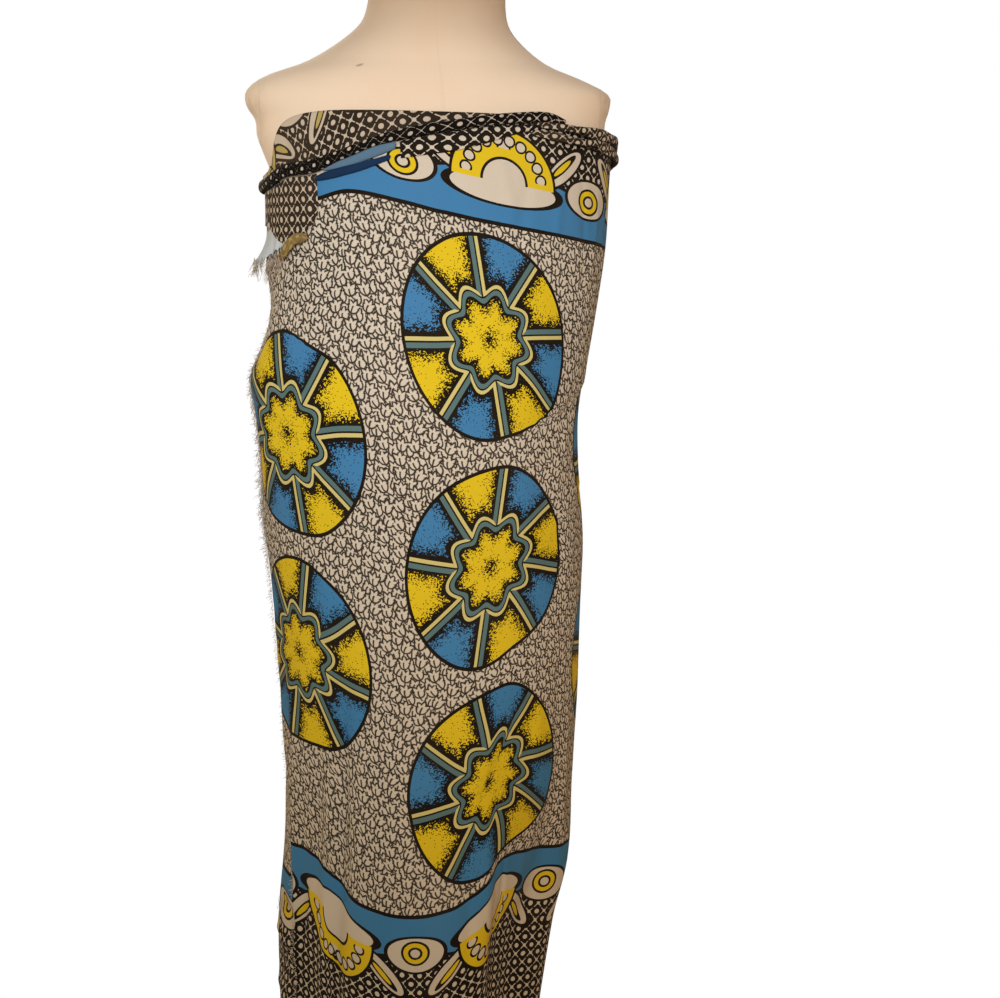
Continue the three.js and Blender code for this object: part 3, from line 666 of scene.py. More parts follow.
    # a row of round beads along the fan
    turnRound = put(tree, "Math ARCTAN2", [bx, by])
    bead = put(tree, "Math MULTIPLY", [turnRound, b["beads"] / (2 * math.pi)])
    bead = put(tree, "Math FRACT", [bead])
    beadX = put(tree, "Math MULTIPLY_ADD", [bead, 12.4, -6.2])
    fromMiddle = put(tree, "CombineXYZ", [bx, by, 0.0])
    fromMiddle = put(tree, "VectorMath LENGTH", [fromMiddle], out=1)
    beadY = put(tree, "Math SUBTRACT", [fromMiddle, b["beadsAt"]])
    beadGap = put(tree, "CombineXYZ", [beadX, beadY, 0.0])
    beadGap = put(tree, "VectorMath LENGTH", [beadGap], out=1)
    below = put(tree, "Math LESS_THAN", [by, -3.0])
    for radius, ink in ((6.2, black), (4.3, ground)):
        beads = put(tree, "Math LESS_THAN", [beadGap, radius])
        beads = put(tree, "Math MULTIPLY", [beads, below])
        edging = put(tree, "Mix", {0: beads, 6: edging, 7: ink}, **ofColours)
    inBorder = put(tree, "Math LESS_THAN", [w, float(wrap["border"])])
    printed = put(tree, "Mix", {0: inBorder, 6: printed, 7: edging}, **ofColours)
    borderLine = put(tree, "Math COMPARE", [w, wrap["border"] + b["line"] / 2, b["line"] / 2])
    printed = put(tree, "Mix", {0: borderLine, 6: printed, 7: black}, **ofColours)
    return printed, place


weave = {"thread": 0.55, "strength": 0.25}


def wovenCotton(name, inks, wearAndPaintedShadeTo, wearAndPaintedShadeBy, dotSizes=(2.5, 2.5), armSizes=(1.0, 1.0), hemToning=0.0):
    # Plain-woven printed cotton: matt, with a fine cross weave and a little unevenness in its inks
    material, tree, surface = newMaterial(name)
    printed, place = printColours(tree, inks, dotSizes, armSizes)
    # Patches mixed towards a second colour: wear on most of the cloths, and painted shade on the rolled
    # edge, the lower small fold and the rope undersides, whose copies mix towards a dark colour.
    patches = put(tree, "TexNoise", {"Vector": place, "Scale": 0.012, "Detail": 4.0}, noise_dimensions="2D")
    wearAndPaintedShade = put(tree, "MapRange", {"Value": patches, 1: 0.35, 2: 0.75, 3: wearAndPaintedShadeBy * 0.5, 4: wearAndPaintedShadeBy * 1.3})
    toned = put(tree, "Mix", {0: wearAndPaintedShade, 6: printed, 7: colour(wearAndPaintedShadeTo)}, **ofColours)
    # darker and yellower towards the hem
    up = put(tree, "SeparateXYZ", [place], out=1)
    yellowed = put(tree, "MapRange", {"Value": up, 1: 60.0, 2: 760.0, 3: hemToning, 4: 0.0})
    toned = put(tree, "Mix", {0: yellowed, 6: toned, 7: colour("#DABF88")}, **ofColours,
                blend_type="MULTIPLY")
    # threads: two sets of bands across each other, drawn a little coarse so that they show
    turns = 2 * math.pi / (2 * weave["thread"])
    threads = []
    for axis in (0, 1):
        band = put(tree, "SeparateXYZ", [place], out=axis)
        band = put(tree, "Math MULTIPLY", [band, turns])
        threads.append(put(tree, "Math SINE", [band]))
    cloth = put(tree, "Math MULTIPLY", threads)
    slub = put(tree, "TexNoise", {"Vector": place, "Scale": 0.5, "Detail": 3.0}, noise_dimensions="2D")
    cloth = put(tree, "Math MULTIPLY_ADD", [slub, 1.4, cloth])
    relief = put(tree, "Bump", {"Strength": weave["strength"], "Distance": 0.0002, "Height": cloth})
    # The threads' colour follows their height: painted shade in the weave's hollows, painted light on its
    # crests.
    thread = put(tree, "MapRange", {"Value": cloth, 1: -0.6, 2: 1.8, 3: 0.9, 4: 1.06})
    lit = put(tree, "VectorMath SCALE", {0: toned, "Scale": thread})
    tree.links.new(lit, surface.inputs["Base Color"])
    tree.links.new(relief, surface.inputs["Normal"])
    surface.inputs["Roughness"].default_value = 0.86
    surface.inputs["Specular IOR Level"].default_value = 0.12
    surface.inputs["Sheen Weight"].default_value = 0.02
    surface.inputs["Sheen Roughness"].default_value = 0.5
    return material


mutedInks = {
    "ground": "#C9BDAB", "black": "#1E1712", "leafLine": "#2E241C", "blue": "#6A8CA8", "yellow": "#B5A55E",
    "teal": "#6C7672", "straw": "#ABA27C",
}
# The rolled edge's inks: ground and black darker than the flat cloth's, a painted shade in the tight roll.
rolledInks = {**printInks, "ground": "#BDB5A8", "black": "#060403"}
# The upper small fold's inks: a greyer blue than the flat cloth's.
greyedInks = {**printInks, "blue": "#4F7391"}
# The lower small fold's inks: its blue darkened to navy, a painted shade in the fold.
shadedInks = {**printInks, "blue": "#18365A"}
tipInks = {**mutedInks, "blue": "#B4C4D0"}
twistInks = {**mutedInks, "ground": "#AE9C62", "black": "#7C6A40"}
# The ropes' undersides: darker ground and black, painted shade under each rope.
undersideInks = {**mutedInks, "ground": "#6E6252", "black": "#0C0805"}
printedCotton = wovenCotton("printed plain-woven cotton", printInks, "#CDB897", 0.02, hemToning=0.5)
rolledCotton = wovenCotton("printed cotton, rolled, painted shade", rolledInks, "#3A332C", 0.05, (2.1, 2.2), (0.1, 0.75))
greyedCotton = wovenCotton("printed cotton, greyer blue along the fold", greyedInks, "#7C8F9B", 0.3)
shadedCotton = wovenCotton("printed cotton, folded under, painted shade", shadedInks, "#0F1E32", 0.4)
ropeShadedUnderside = wovenCotton("cotton wrong side, painted shade underneath", undersideInks, "#1A130D", 0.3, (1.6, 1.4))
twistedCotton = wovenCotton("cotton wrong side, yellowed", twistInks, "#8A7548", 0.4)
ropeCotton = wovenCotton("cotton wrong side, twisted", mutedInks, "#8E7B63", 0.10, (3.1, 2.8))
frayedBlueCotton = wovenCotton("printed cotton, rubbed pale", tipInks, "#D8D8D2", 0.3)
wrongSideCotton = wovenCotton("cotton wrong side", mutedInks, "#8E7B63", 0.10)
print("cloth materials made")

# camera
view = {"lens": 48.6, "pitch": 10, "turn": -8, "back": 1.42, "aside": 0.072, "height": 1.117}
camera = bpy.data.objects.new("camera", bpy.data.cameras.new("camera"))
bpy.context.scene.collection.objects.link(camera)
camera.data.lens = view["lens"]
camera.data.sensor_width = 36
ahead = Vector((-math.sin(math.radians(view["turn"])), math.cos(math.radians(view["turn"])), 0))
toRight = Vector((ahead.y, -ahead.x, 0))
camera.location = -view["back"] * ahead + view["aside"] * toRight + Vector((0, 0, view["height"]))
camera.rotation_euler = (math.radians(90 - view["pitch"]), 0, math.radians(view["turn"]))
bpy.context.scene.camera = camera

# the wound cloth
columnAngles = [
    *stepsBetween(wrap["start"], 358, 0.9),
    *stepsBetween(358, 490, 2.2),
    *stepsBetween(490, 575, 1.6),
    *stepsBetween(575, wrap["end"], 4.5),
    wrap["end"],
]
upShares = [*stepsBetween(0, 0.86, 0.0086), *stepsBetween(0.86, 1, 0.006), 1]


def slanted(angle, z):
    # Near the raw end the columns follow its slant, and the last of them is ragged
    if angle >= wrap["slantEnd"]:
        return angle
    share = (wrap["slantEnd"] - angle) / (wrap["slantEnd"] - wrap["start"])
    ragged = 0.7 * noise.noise(Vector((0, 5, z * 0.06))) + 0.5 * noise.noise(Vector((0, 9, z * 0.3)))
    toEnd = wrap["slantEnd"] - valueAt(rawEnd, "z", z, "angle")
    return wrap["slantEnd"] - share * toEnd + share ** 8 * ragged


clothPlaces = {}
for column, angle in enumerate(columnAngles):
    low, high = hemAt(angle), topAt(angle)
    for row, share in enumerate(upShares):
        z = mixed(low, high, share)
        at = slanted(angle, z)
        pleatOut, pleatHidden = pleatAt(at, z)
        calm = smooth(high - z, 0, 14) * smooth(z, low - 1, low + 4)
        tuckOut, tuckAlong, tuckUp = tuckAt(at, z)
        out = foldDepth(at, z) + pleatOut + tuckOut - layerDepth(at, z)
        out += (creaseDepth(at, z) + looseness(at, z)) * calm
        point = outlinePoint(sectionAt(wrapSections, z), at, z, out)
        clothPlaces[column, row] = (point, pleatHidden + tuckAlong, clothHeight(at, z) + tuckUp)

# along the cloth, measured along each row from the middle of the front
frontColumn = min(range(len(columnAngles)), key=lambda i: abs(columnAngles[i] - 270))
alongCloth = {}
for row in range(len(upShares)):
    lengths = [0.0]
    for column in range(1, len(columnAngles)):
        a, b = clothPlaces[column - 1, row][0], clothPlaces[column, row][0]
        lengths.append(lengths[-1] + math.hypot(b.x - a.x, b.y - a.y))
    hiddenFront = clothPlaces[frontColumn, row][1]
    for column, length in enumerate(lengths):
        hidden = (clothPlaces[column, row][1] - hiddenFront) * mm
        alongCloth[column, row] = length - lengths[frontColumn] + hidden

lastColumn, lastRow = len(columnAngles) - 1, len(upShares) - 1


def onCloth(s, t):
    return clothPlaces[round(s * lastColumn), round(t * lastRow)][0]


def printOnCloth(s, t):
    at = round(s * lastColumn), round(t * lastRow)
    return alongCloth[at], clothPlaces[at][2] * mm


woundCloth = gridPiece(
    "woundCloth", lastColumn, lastRow, onCloth, printOnCloth,
    [printedCotton, wrongSideCotton], thickness=wrap["thickness"],
)
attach(woundCloth, "root")
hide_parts("front_wrap", "back_wrap", "under_wrap")
print("wound cloth made:", len(woundCloth.data.polygons), "faces")

# the rolled edge, the ropes and the small folds: centre height and half sizes at each angle
mainRoll = rows(
    "angle z tall thick",
    (172.3, 1190, 6, 3.6), (196, 1192, 6, 3.8), (213, 1202, 6.5, 4.5), (229, 1206, 7, 4.5),
    (242, 1217, 5, 4), (254, 1229, 5, 4), (268, 1240, 5, 4), (280, 1248, 5, 4), (292, 1252, 5.5, 4.5),
    (301, 1253, 5, 5), (308, 1249.5, 2.5, 3),
)
ropeUpper = rows(
    "angle z tall thick",
    (297, 1246, 3, 1.8), (303, 1245.5, 4.6, 2.6), (309, 1243.5, 5.4, 3.2), (318, 1240.8, 6, 3.6),
    (335, 1238.1, 7, 3.6), (352, 1232.4, 7.6, 3.4),
    (400, 1215.7, 6.8, 3.8), (450, 1207.4, 6, 4), (500, 1203, 5.6, 3.8), (524, 1199.6, 3, 2),
)
ropeLower = rows(
    "angle z tall thick",
    (295, 1238, 3, 2), (303, 1235.5, 5, 2.8), (310, 1232.3, 5.7, 3.4), (335, 1225.5, 6.8, 3.8),
    (352, 1219.4, 7.8, 3.8), (400, 1203.7, 6.8, 4), (450, 1195, 6, 4.2), (500, 1191, 6, 4.4),
    (532, 1190, 6, 4.5),
)
foldUpper = rows(
    "angle z tall thick",
    (232, 1202.5, 2, 1.2), (243, 1209.2, 4.2, 2), (252, 1218, 5, 2.2), (259, 1224.5, 3.4, 1.8),
)
foldLower = rows(
    "angle z tall thick",
    (228, 1193.5, 2, 1), (233, 1196.3, 3.8, 1.6), (239, 1199.6, 4.2, 1.8), (248, 1205.4, 3.8, 1.8),
    (257, 1213.5, 2.4, 1.2),
)
cornerTwist = rows(
    "angle z tall thick standOff",
    (208, 1118, 3, 1.2, 0.5), (213, 1126, 6.5, 3.6, 2.5), (219, 1136, 6.5, 3.6, 2.5),
    (225, 1140, 3.4, 2, 2.5),
)
# Faces that look further down than the last of these take a piece's last material; on the ropes that is
# painted shade.
rollLook = {"standOff": 0.5, "around": 28, "uneven": 0.10, "underside": -0.45}
millimetresAround = 2.85  # of the wrap for each degree, at its top edge


def tent(x, span):
    # Runs up and down between 0 and span
    return span - abs(x % (2 * span) - span)


def clothRoll(name, table, steps, materials, twisted, printed, drawnIn=1):
    # A rolled or twisted edge that lies on the wrap, its print wound round it with the twist;
    # twisted is its strands, turns and depth of groove, printed where its print starts and its span
    strands, turns, grooves = twisted
    printLow, printSpan = printed
    first, last = table[0]["angle"], table[-1]["angle"]

    def place(s, t):
        angle = mixed(first, last, s)
        z, tall, thick = (byAngle(table, angle, name) for name in ("z", "tall", "thick"))
        standOff = rollLook["standOff"]
        if "standOff" in table[0]:
            standOff = byAngle(table, angle, "standOff")
        section = sectionAt(wrapSections, z)
        onWrap = outlinePoint(section, angle, z)
        out = (outlinePoint(section, angle, z, 1) - onWrap).normalized()
        turn = 2 * math.pi * t
        twist = strands * turn + 2 * math.pi * turns * s
        swell = 1 - grooves * (0.5 - 0.5 * math.cos(twist))
        lump = noise.noise(Vector((angle * 0.35, math.cos(turn), math.sin(turn))))
        swell *= 1 - rollLook["uneven"] * lump ** 2
        if s in (0, 1):
            swell = 0
        point = onWrap + out * (standOff + thick + thick * swell * math.sin(turn)) * mm
        point.z += tall * swell * math.cos(turn) * mm
        return point

    def printAt(s, t):
        angle = mixed(first, last, s)
        girth = 2 * math.pi * byAngle(table, angle, "tall")
        wound = drawnIn * girth * (t + turns * s / max(strands, 1))
        return drawnIn * (angle - 270) * millimetresAround * mm, (printLow + tent(wound, printSpan)) * mm

    piece = gridPiece(name, steps, rollLook["around"], place, printAt, materials, closed=True)
    for polygon in piece.data.polygons:  # faces that look down take the last material: on the ropes, painted shade
        if polygon.normal.z < rollLook["underside"]:
            polygon.material_index = len(materials) - 1
    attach(piece, "root")
    return piece


def patch(name, columns, rowsUp, angles, lowAt, highAt, outAt, printAt, material):
    # A piece of the cloth that lies on the wrap between two heights, from its low edge, its high edge,
    # how far it stands out and where it lies on the flat print
    def place(s, t):
        angle = mixed(*angles, s)
        z = mixed(lowAt(angle), highAt(angle), t)
        give = foldDepth(angle, z) + creaseDepth(angle, z) + looseness(angle, z)
        out = outAt(angle, z, t) + give * smooth(t, 1, 0.8)
        return outlinePoint(sectionAt(wrapSections, z), angle, z, out)

    def printPlace(s, t):
        angle = mixed(*angles, s)
        across, up = printAt(angle, mixed(lowAt(angle), highAt(angle), t))
        return across * mm, up * mm

    piece = gridPiece(name, columns, rowsUp, place, printPlace, [material], thickness=wrap["thickness"])
    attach(piece, "root")
    return piece


rolledEdge = clothRoll("rolledEdge", mainRoll, 260, [rolledCotton], (2, 1.5, 0.07), (20, 60), drawnIn=1.15)
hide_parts("main_roll")
upperRope = clothRoll("upperRope", ropeUpper, 320, [ropeCotton, ropeShadedUnderside], (2, 8, 0.3), (20, 110))
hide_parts("rope_upper")
lowerRope = clothRoll("lowerRope", ropeLower, 320, [ropeCotton, ropeShadedUnderside], (2, 6, 0.34), (30, 100))
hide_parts("rope_lower")
upperFold = clothRoll("upperFold", foldUpper, 60, [greyedCotton], (0, 0, 0), (181, 5))
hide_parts("border_fold_upper")
lowerFold = clothRoll("lowerFold", foldLower, 60, [shadedCotton], (0, 0, 0), (181, 5))
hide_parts("border_fold_lower")
twistedTip = clothRoll("twistedTip", cornerTwist, 60, [twistedCotton], (3, 1.4, 0.4), (40, 50))
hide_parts("corner_twist")
print("rolled edge and ropes made")

# the border turned out above the roll, the band under it and the turned-down corner
borderLook = {"behindRoll": 5, "columns": 150, "rows": 26, "shift": 25, "sideFullness": 5}
foldedAt = rows(  # where the fold along the top runs across the printed border
    "angle print",
    (176, 142), (212, 142), (226, 139), (238, 126), (252, 104), (270, 92), (302, 84),
)
rollBand = rows(
    "angle top low",
    (260, 1228, 1212), (271, 1236, 1218), (280, 1242, 1226), (292, 1245.5, 1238), (299, 1246.5, 1242),
)
cornerLow = rows("angle z", (184, 1152), (196, 1148), (206, 1136), (217, 1133), (224, 1146), (229, 1158))


def aroundFront(angle):
    return (angle - 270) * millimetresAround


turnedBorder = patch(
    "turnedBorder", borderLook["columns"], borderLook["rows"], (176, 302),
    lambda angle: byAngle(mainRoll, angle) - borderLook["behindRoll"],
    lambda angle: byAngle(borderTop, angle),
    lambda angle, z, t: -wrap["layerPitch"] + 2 * math.sin(angle * 0.9) * t * (1 - t)
    + borderLook["sideFullness"] * smooth(214 - angle, 0, 16) * smooth(t, 0, 0.5),
    lambda angle, z: (borderLook["shift"] - aroundFront(angle),
                      byAngle(foldedAt, angle, "print") - byAngle(borderTop, angle) + z),
    wrongSideCotton,
)
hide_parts("turned_border")
hangingBand = patch(
    "hangingBand", 60, 14, (260, 299),
    lambda angle: byAngle(rollBand, angle, "low"),
    lambda angle: byAngle(rollBand, angle, "top"),
    lambda angle, z, t: 0.5 + wrap["thickness"] + 2.4 * math.sin(math.pi * t),
    lambda angle, z: (aroundFront(angle), 1000 + z - 1228),
    printedCotton,
)
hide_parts("roll_band")
turnedCorner = patch(
    "turnedCorner", 70, 34, (181, 229),
    lambda angle: byAngle(cornerLow, angle),
    lambda angle: byAngle(mainRoll, angle) - byAngle(mainRoll, angle, "tall") - 0.3,
    lambda angle, z, t: 0.9 + wrap["thickness"],
    lambda angle, z: (159.5 + (z - 1168) * 0.95, 146 - (angle - 181) * millimetresAround * 0.9),
    wrongSideCotton,
)
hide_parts("turned_corner")
cornerFlap = rows(  # the rubbed, ragged tip of that corner, which curls away from the cloth
    "angle low top curl",
    (183, 1114, 1140, 11), (188, 1111, 1144, 10), (193, 1115, 1147, 8), (198, 1121, 1149, 5),
    (204, 1127, 1148, 2), (211, 1134, 1142, 1),
)


def flapLow(angle):
    ragged = noise.noise(Vector((angle * 1.3, 3, 0))) * 4 + noise.noise(Vector((angle * 4.1, 8, 0))) * 2.5
    return byAngle(cornerFlap, angle, "low") + ragged


frayedTip = patch(
    "frayedTip", 70, 24, (183, 210), flapLow,
    lambda angle: byAngle(cornerFlap, angle, "top"),
    lambda angle, z, t: 0.4 + byAngle(cornerFlap, angle, "curl") * (1 - t) ** 1.6
    + 1.2 * math.sin(angle * 0.9) * (1 - t),
    lambda angle, z: (aroundFront(angle), 172 + (z - 1103) * 0.3),
    frayedBlueCotton,
)
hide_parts("corner_tuft")
print("border, band and corner made")

# frayed threads along the raw end and at the corner's tip
fray = {"seed": 7, "halfThick": 0.17, "points": 6, "strands": 14}
frayRows = rows(
    "z reach each",
    (282, 7, 1.0), (400, 6, 1.3), (560, 5, 1.6), (700, 6, 1.2), (800, 9, 0.6), (860, 12, 0.28),
    (930, 12, 0.25), (990, 11, 0.3), (1040, 7, 0.8), (1090, 6, 1.2),
)
tipThreads = rows(
    "angle z standOff reach",
    (183, 1115, 11, 14), (184, 1114, 11, 18), (186, 1114, 10, 16), (188, 1113, 10, 18), (190, 1114, 9, 14),
    (193, 1115, 7, 12), (196, 1113, 4, 20), (199, 1118, 2, 24), (203, 1120, 1, 16), (207, 1118, 1, 26),
    (210, 1120, 1, 12), (192, 437, -6, 13), (193, 431, -6, 15),
)
frayedCotton, frayTree, fraySurface = newMaterial("frayed cotton thread")  # matt, pale, a little soiled
frayTone = put(frayTree, "TexNoise", {"Vector": put(frayTree, "TexCoord", out=3), "Scale": 90.0})
frayMix = put(frayTree, "Mix", {0: frayTone, 6: colour("#5F4A36"), 7: colour("#DDD0BC")}, **ofColours)
frayTree.links.new(frayMix, fraySurface.inputs["Base Color"])
fraySurface.inputs["Roughness"].default_value = 0.95
fraySurface.inputs["Sheen Weight"].default_value = 0.2

dice = random.Random(fray["seed"])
threadCurve = bpy.data.curves.new("threads", "CURVE")
threadCurve.dimensions = "3D"
threadCurve.bevel_depth = fray["halfThick"] * mm
threadCurve.bevel_resolution = 0
threadCurve.resolution_u = 1


def addThread(start, heading, reach, droop, thicker=1.0):
    spline = threadCurve.splines.new("POLY")
    spline.points.add(fray["points"] - 1)
    here, heading = start.copy(), heading.normalized()
    for point in spline.points:
        point.co = (*here, 1)
        point.radius = thicker
        here += heading * reach * mm / (fray["points"] - 1)
        wander = Vector((dice.uniform(-1, 1), dice.uniform(-1, 1), dice.uniform(-1, 1)))
        heading = (heading + 0.34 * wander + Vector((0, 0, -droop))).normalized()


z = frayRows[0]["z"]
while z < frayRows[-1]["z"]:
    angle = valueAt(rawEnd, "z", z, "angle")
    section = sectionAt(wrapSections, z)
    give = foldDepth(angle, z) + creaseDepth(angle, z)
    start = outlinePoint(section, angle, z, give - 0.3)
    out = outlinePoint(section, angle, z, give + 0.7) - start
    away = (outlinePoint(section, angle - 1, z, give - 0.3) - start).normalized()
    heading = away + out.normalized() * dice.uniform(-0.15, 0.5) + Vector((0, 0, dice.uniform(-0.7, 0.4)))
    addThread(start, heading, valueAt(frayRows, "z", z, "reach") * dice.uniform(0.4, 1.25), 0.16)
    z += valueAt(frayRows, "z", z, "each") * dice.uniform(0.5, 1.5)
for row in tipThreads:
    section = sectionAt(wrapSections, row["z"])
    for _ in range(fray["strands"]):
        angle = row["angle"] + dice.uniform(-1.5, 1.5)
        start = outlinePoint(section, angle, row["z"] + dice.uniform(-2, 6), row["standOff"])
        heading = Vector((dice.uniform(-0.7, 0.4), dice.uniform(-0.5, 0.3), -1))
        addThread(start, heading, row["reach"] * dice.uniform(0.3, 1.0), 0.25)
for loose in range(3):  # long loose threads that hang from the corner's tip
    start = outlinePoint(sectionAt(wrapSections, 1120), 213 - loose * 2, 1120 - loose, 8)
    addThread(start, Vector((0.25 - 0.3 * loose, -0.3, -1)), 44 - 9 * loose, 0.1, thicker=2.2)
threadObject = bpy.data.objects.new("threads", threadCurve)
bpy.context.scene.collection.objects.link(threadObject)
edgeThreads = bpy.data.objects.new("edgeThreads", bpy.data.meshes.new_from_object(threadObject))
bpy.context.scene.collection.objects.link(edgeThreads)
edgeThreads.data.materials.append(frayedCotton)
bpy.data.objects.remove(threadObject)
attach(edgeThreads, "root")
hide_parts("raw_edge_fringe")
print("threads made:", len(edgeThreads.data.polygons), "faces")

# the dress form and its stand
form = {
    "bottom": 694, "neckTop": 1402, "clearance": 1.2, "wall": 1.6, "columns": 112, "rows": 150,
    "jerseyPitch": 2.3, "seamAt": 463.0, "armSeam": 169.0, "stain": (392.5, 1301.5),
}


def hugged(z, fuller=0):
    # The form's section where the cloth hugs it: the wrap's, less every layer of cloth
    inset = 2 * wrap["layerPitch"] + form["wall"] + form["clearance"]
    left, right, front, back, square = sectionAt(wrapSections, z)
    return (z, left - inset + fuller, right - inset, front - inset, back - inset, square)


formSections = rows(
    "z left right front back square",
    (694, 128, 128, 86, 92, 2.2), (706, 140, 138, 95, 102, 2.2), (760, 150, 146, 107, 116, 2.2),
    (815, 148, 144, 106, 114, 2.2), (880, 130, 128, 96, 98, 2.2), (940, 119, 118, 88, 86, 2.2),
    (1010, 131, 131, 97, 88, 2.2), (1077, 152, 156, 111, 98, 2.25),
    *(hugged(z) for z in (1133, 1165, 1196)), *(hugged(z, 5) for z in (1225, 1240)), hugged(1256),
    (1270, 183, 185, 86, 89, 2.3), (1284, 182, 184, 82, 86, 2.25), (1297, 164, 158, 77, 81, 2.2),
    (1311, 125, 122, 71, 75, 2.15), (1336, 84, 90, 64, 66, 2.1), (1356, 65, 79, 60, 62, 2.1),
    (1402, 56, 78, 57, 59, 2.1),
)

jersey, jerseyTree, jerseySurface = newMaterial("knitted cotton jersey")  # matt, faintly ribbed up and down
knitMap = put(jerseyTree, "UVMap", uv_map="print")
knitPlace = put(jerseyTree, "VectorMath MULTIPLY", [knitMap, (1000, 1000, 0)])
aroundForm, upForm = put(jerseyTree, "SeparateXYZ", [knitPlace], out=(0, 1))
rib = put(jerseyTree, "Math MULTIPLY", [aroundForm, 2 * math.pi / form["jerseyPitch"]])
rib = put(jerseyTree, "Math SINE", [rib])
fuzz = put(jerseyTree, "TexNoise", {"Vector": knitPlace, "Scale": 0.6, "Detail": 3.0}, noise_dimensions="2D")
ribShows = put(jerseyTree, "MapRange", {"Value": upForm, 1: 1316.0, 2: 1352.0, 3: 0.12, 4: 1.0})
rib = put(jerseyTree, "Math MULTIPLY", [rib, ribShows])
knit = put(jerseyTree, "Math MULTIPLY_ADD", [fuzz, 2.0, rib])
knitBump = put(jerseyTree, "Bump", {"Strength": 0.22, "Distance": 0.0003, "Height": knit})
cloudy = put(jerseyTree, "TexNoise", {"Vector": knitPlace, "Scale": 0.008, "Detail": 3.0},
             noise_dimensions="2D")
jerseyTone = put(jerseyTree, "Mix", {0: cloudy, 6: colour("#E9D5BC"), 7: colour("#F1E1CB")}, **ofColours)
# Darker towards the top of the neck: painted shade.
neckTopShade = put(jerseyTree, "MapRange", {"Value": upForm, 1: 1310.0, 2: 1400.0, 3: 0.0, 4: 0.9})
jerseyTone = put(jerseyTree, "Mix", {0: neckTopShade, 6: jerseyTone, 7: colour("#AA8F72")}, **ofColours)
seamGap = put(jerseyTree, "Math SUBTRACT", [aroundForm, form["seamAt"]])
seamGap = put(jerseyTree, "Math ABSOLUTE", [seamGap])
seamTone = put(jerseyTree, "MapRange", {"Value": seamGap, 1: 0.4, 2: 1.6, 3: 0.05, 4: 0.0})
jerseyTone = put(jerseyTree, "Mix", {0: seamTone, 6: jerseyTone, 7: colour("#A98E72")}, **ofColours)
formX = put(jerseyTree, "SeparateXYZ", [put(jerseyTree, "TexCoord", out=3)])
formX = put(jerseyTree, "Math ABSOLUTE", [formX])
armSeam = put(jerseyTree, "Math COMPARE", [formX, form["armSeam"] * mm, 0.0008])
# Darker in blotches towards each arm end, and along the arm seam.
armCap = put(jerseyTree, "MapRange", {"Value": formX, 1: 0.16, 2: 0.178, 3: 0.0, 4: 1.1})
armCap = put(jerseyTree, "Math MULTIPLY", [armCap, cloudy])
armCapBlotches = put(jerseyTree, "TexNoise", {"Vector": knitPlace, "Scale": 0.045, "Detail": 4.0},
           noise_dimensions="2D")
armCapBlotches = put(jerseyTree, "MapRange", {"Value": armCapBlotches, 1: 0.4, 2: 0.7, 3: 0.15, 4: 0.9})
armCap = put(jerseyTree, "Math MULTIPLY", [armCap, armCapBlotches])
armCap = put(jerseyTree, "Math MULTIPLY_ADD", [armSeam, 0.12, armCap])
jerseyTone = put(jerseyTree, "Mix", {0: armCap, 6: jerseyTone, 7: colour("#B59A7C")}, **ofColours)
stainPlace = put(jerseyTree, "VectorMath SUBTRACT", [knitPlace, (*form["stain"], 0)])
stainPlace = put(jerseyTree, "VectorMath MULTIPLY", [stainPlace, (0.25, 0.5, 0)])
stained = put(jerseyTree, "VectorMath LENGTH", [stainPlace], out=1)
stained = put(jerseyTree, "MapRange", {"Value": stained, 1: 0.5, 2: 1.0, 3: 0.5, 4: 0.0})
jerseyTone = put(jerseyTree, "Mix", {0: stained, 6: jerseyTone, 7: colour("#6B5138")}, **ofColours)
# The knit's colour follows its ribs and fuzz: painted light where they stand up, painted shade between.
ribTone = put(jerseyTree, "MapRange", {"Value": knit, 1: -1.0, 2: 3.0, 3: 0.93, 4: 1.05})
jerseyLit = put(jerseyTree, "VectorMath SCALE", {0: jerseyTone, "Scale": ribTone})
jerseyTree.links.new(jerseyLit, jerseySurface.inputs["Base Color"])
jerseyTree.links.new(knitBump, jerseySurface.inputs["Normal"])
jerseySurface.inputs["Roughness"].default_value = 0.95
jerseySurface.inputs["Specular IOR Level"].default_value = 0.2
jerseySurface.inputs["Sheen Weight"].default_value = 0.25


def onForm(s, t):
    z = mixed(form["bottom"], form["neckTop"], t)
    return outlinePoint(sectionAt(formSections, z), 90 + 360 * s, z)


formTorso = gridPiece(
    "formTorso", form["columns"], form["rows"], onForm,
    lambda s, t: (s * 0.92, mixed(form["bottom"], form["neckTop"], t) * mm), [jersey], closed=True,
)
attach(formTorso, "root")
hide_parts("form_torso")

birch, birchTree, birchSurface = newMaterial("varnished birch")  # pale, with fine grain and a low gloss
grainPlace = put(birchTree, "VectorMath MULTIPLY", [put(birchTree, "TexCoord", out=3), (30, 300, 30)])
grain = put(birchTree, "TexNoise", {"Vector": grainPlace, "Scale": 1.0, "Detail": 4.0})
birchTone = put(birchTree, "Mix", {0: grain, 6: colour("#B98D5C"), 7: colour("#D8B488")}, **ofColours)
birchTree.links.new(birchTone, birchSurface.inputs["Base Color"])
birchSurface.inputs["Roughness"].default_value = 0.4

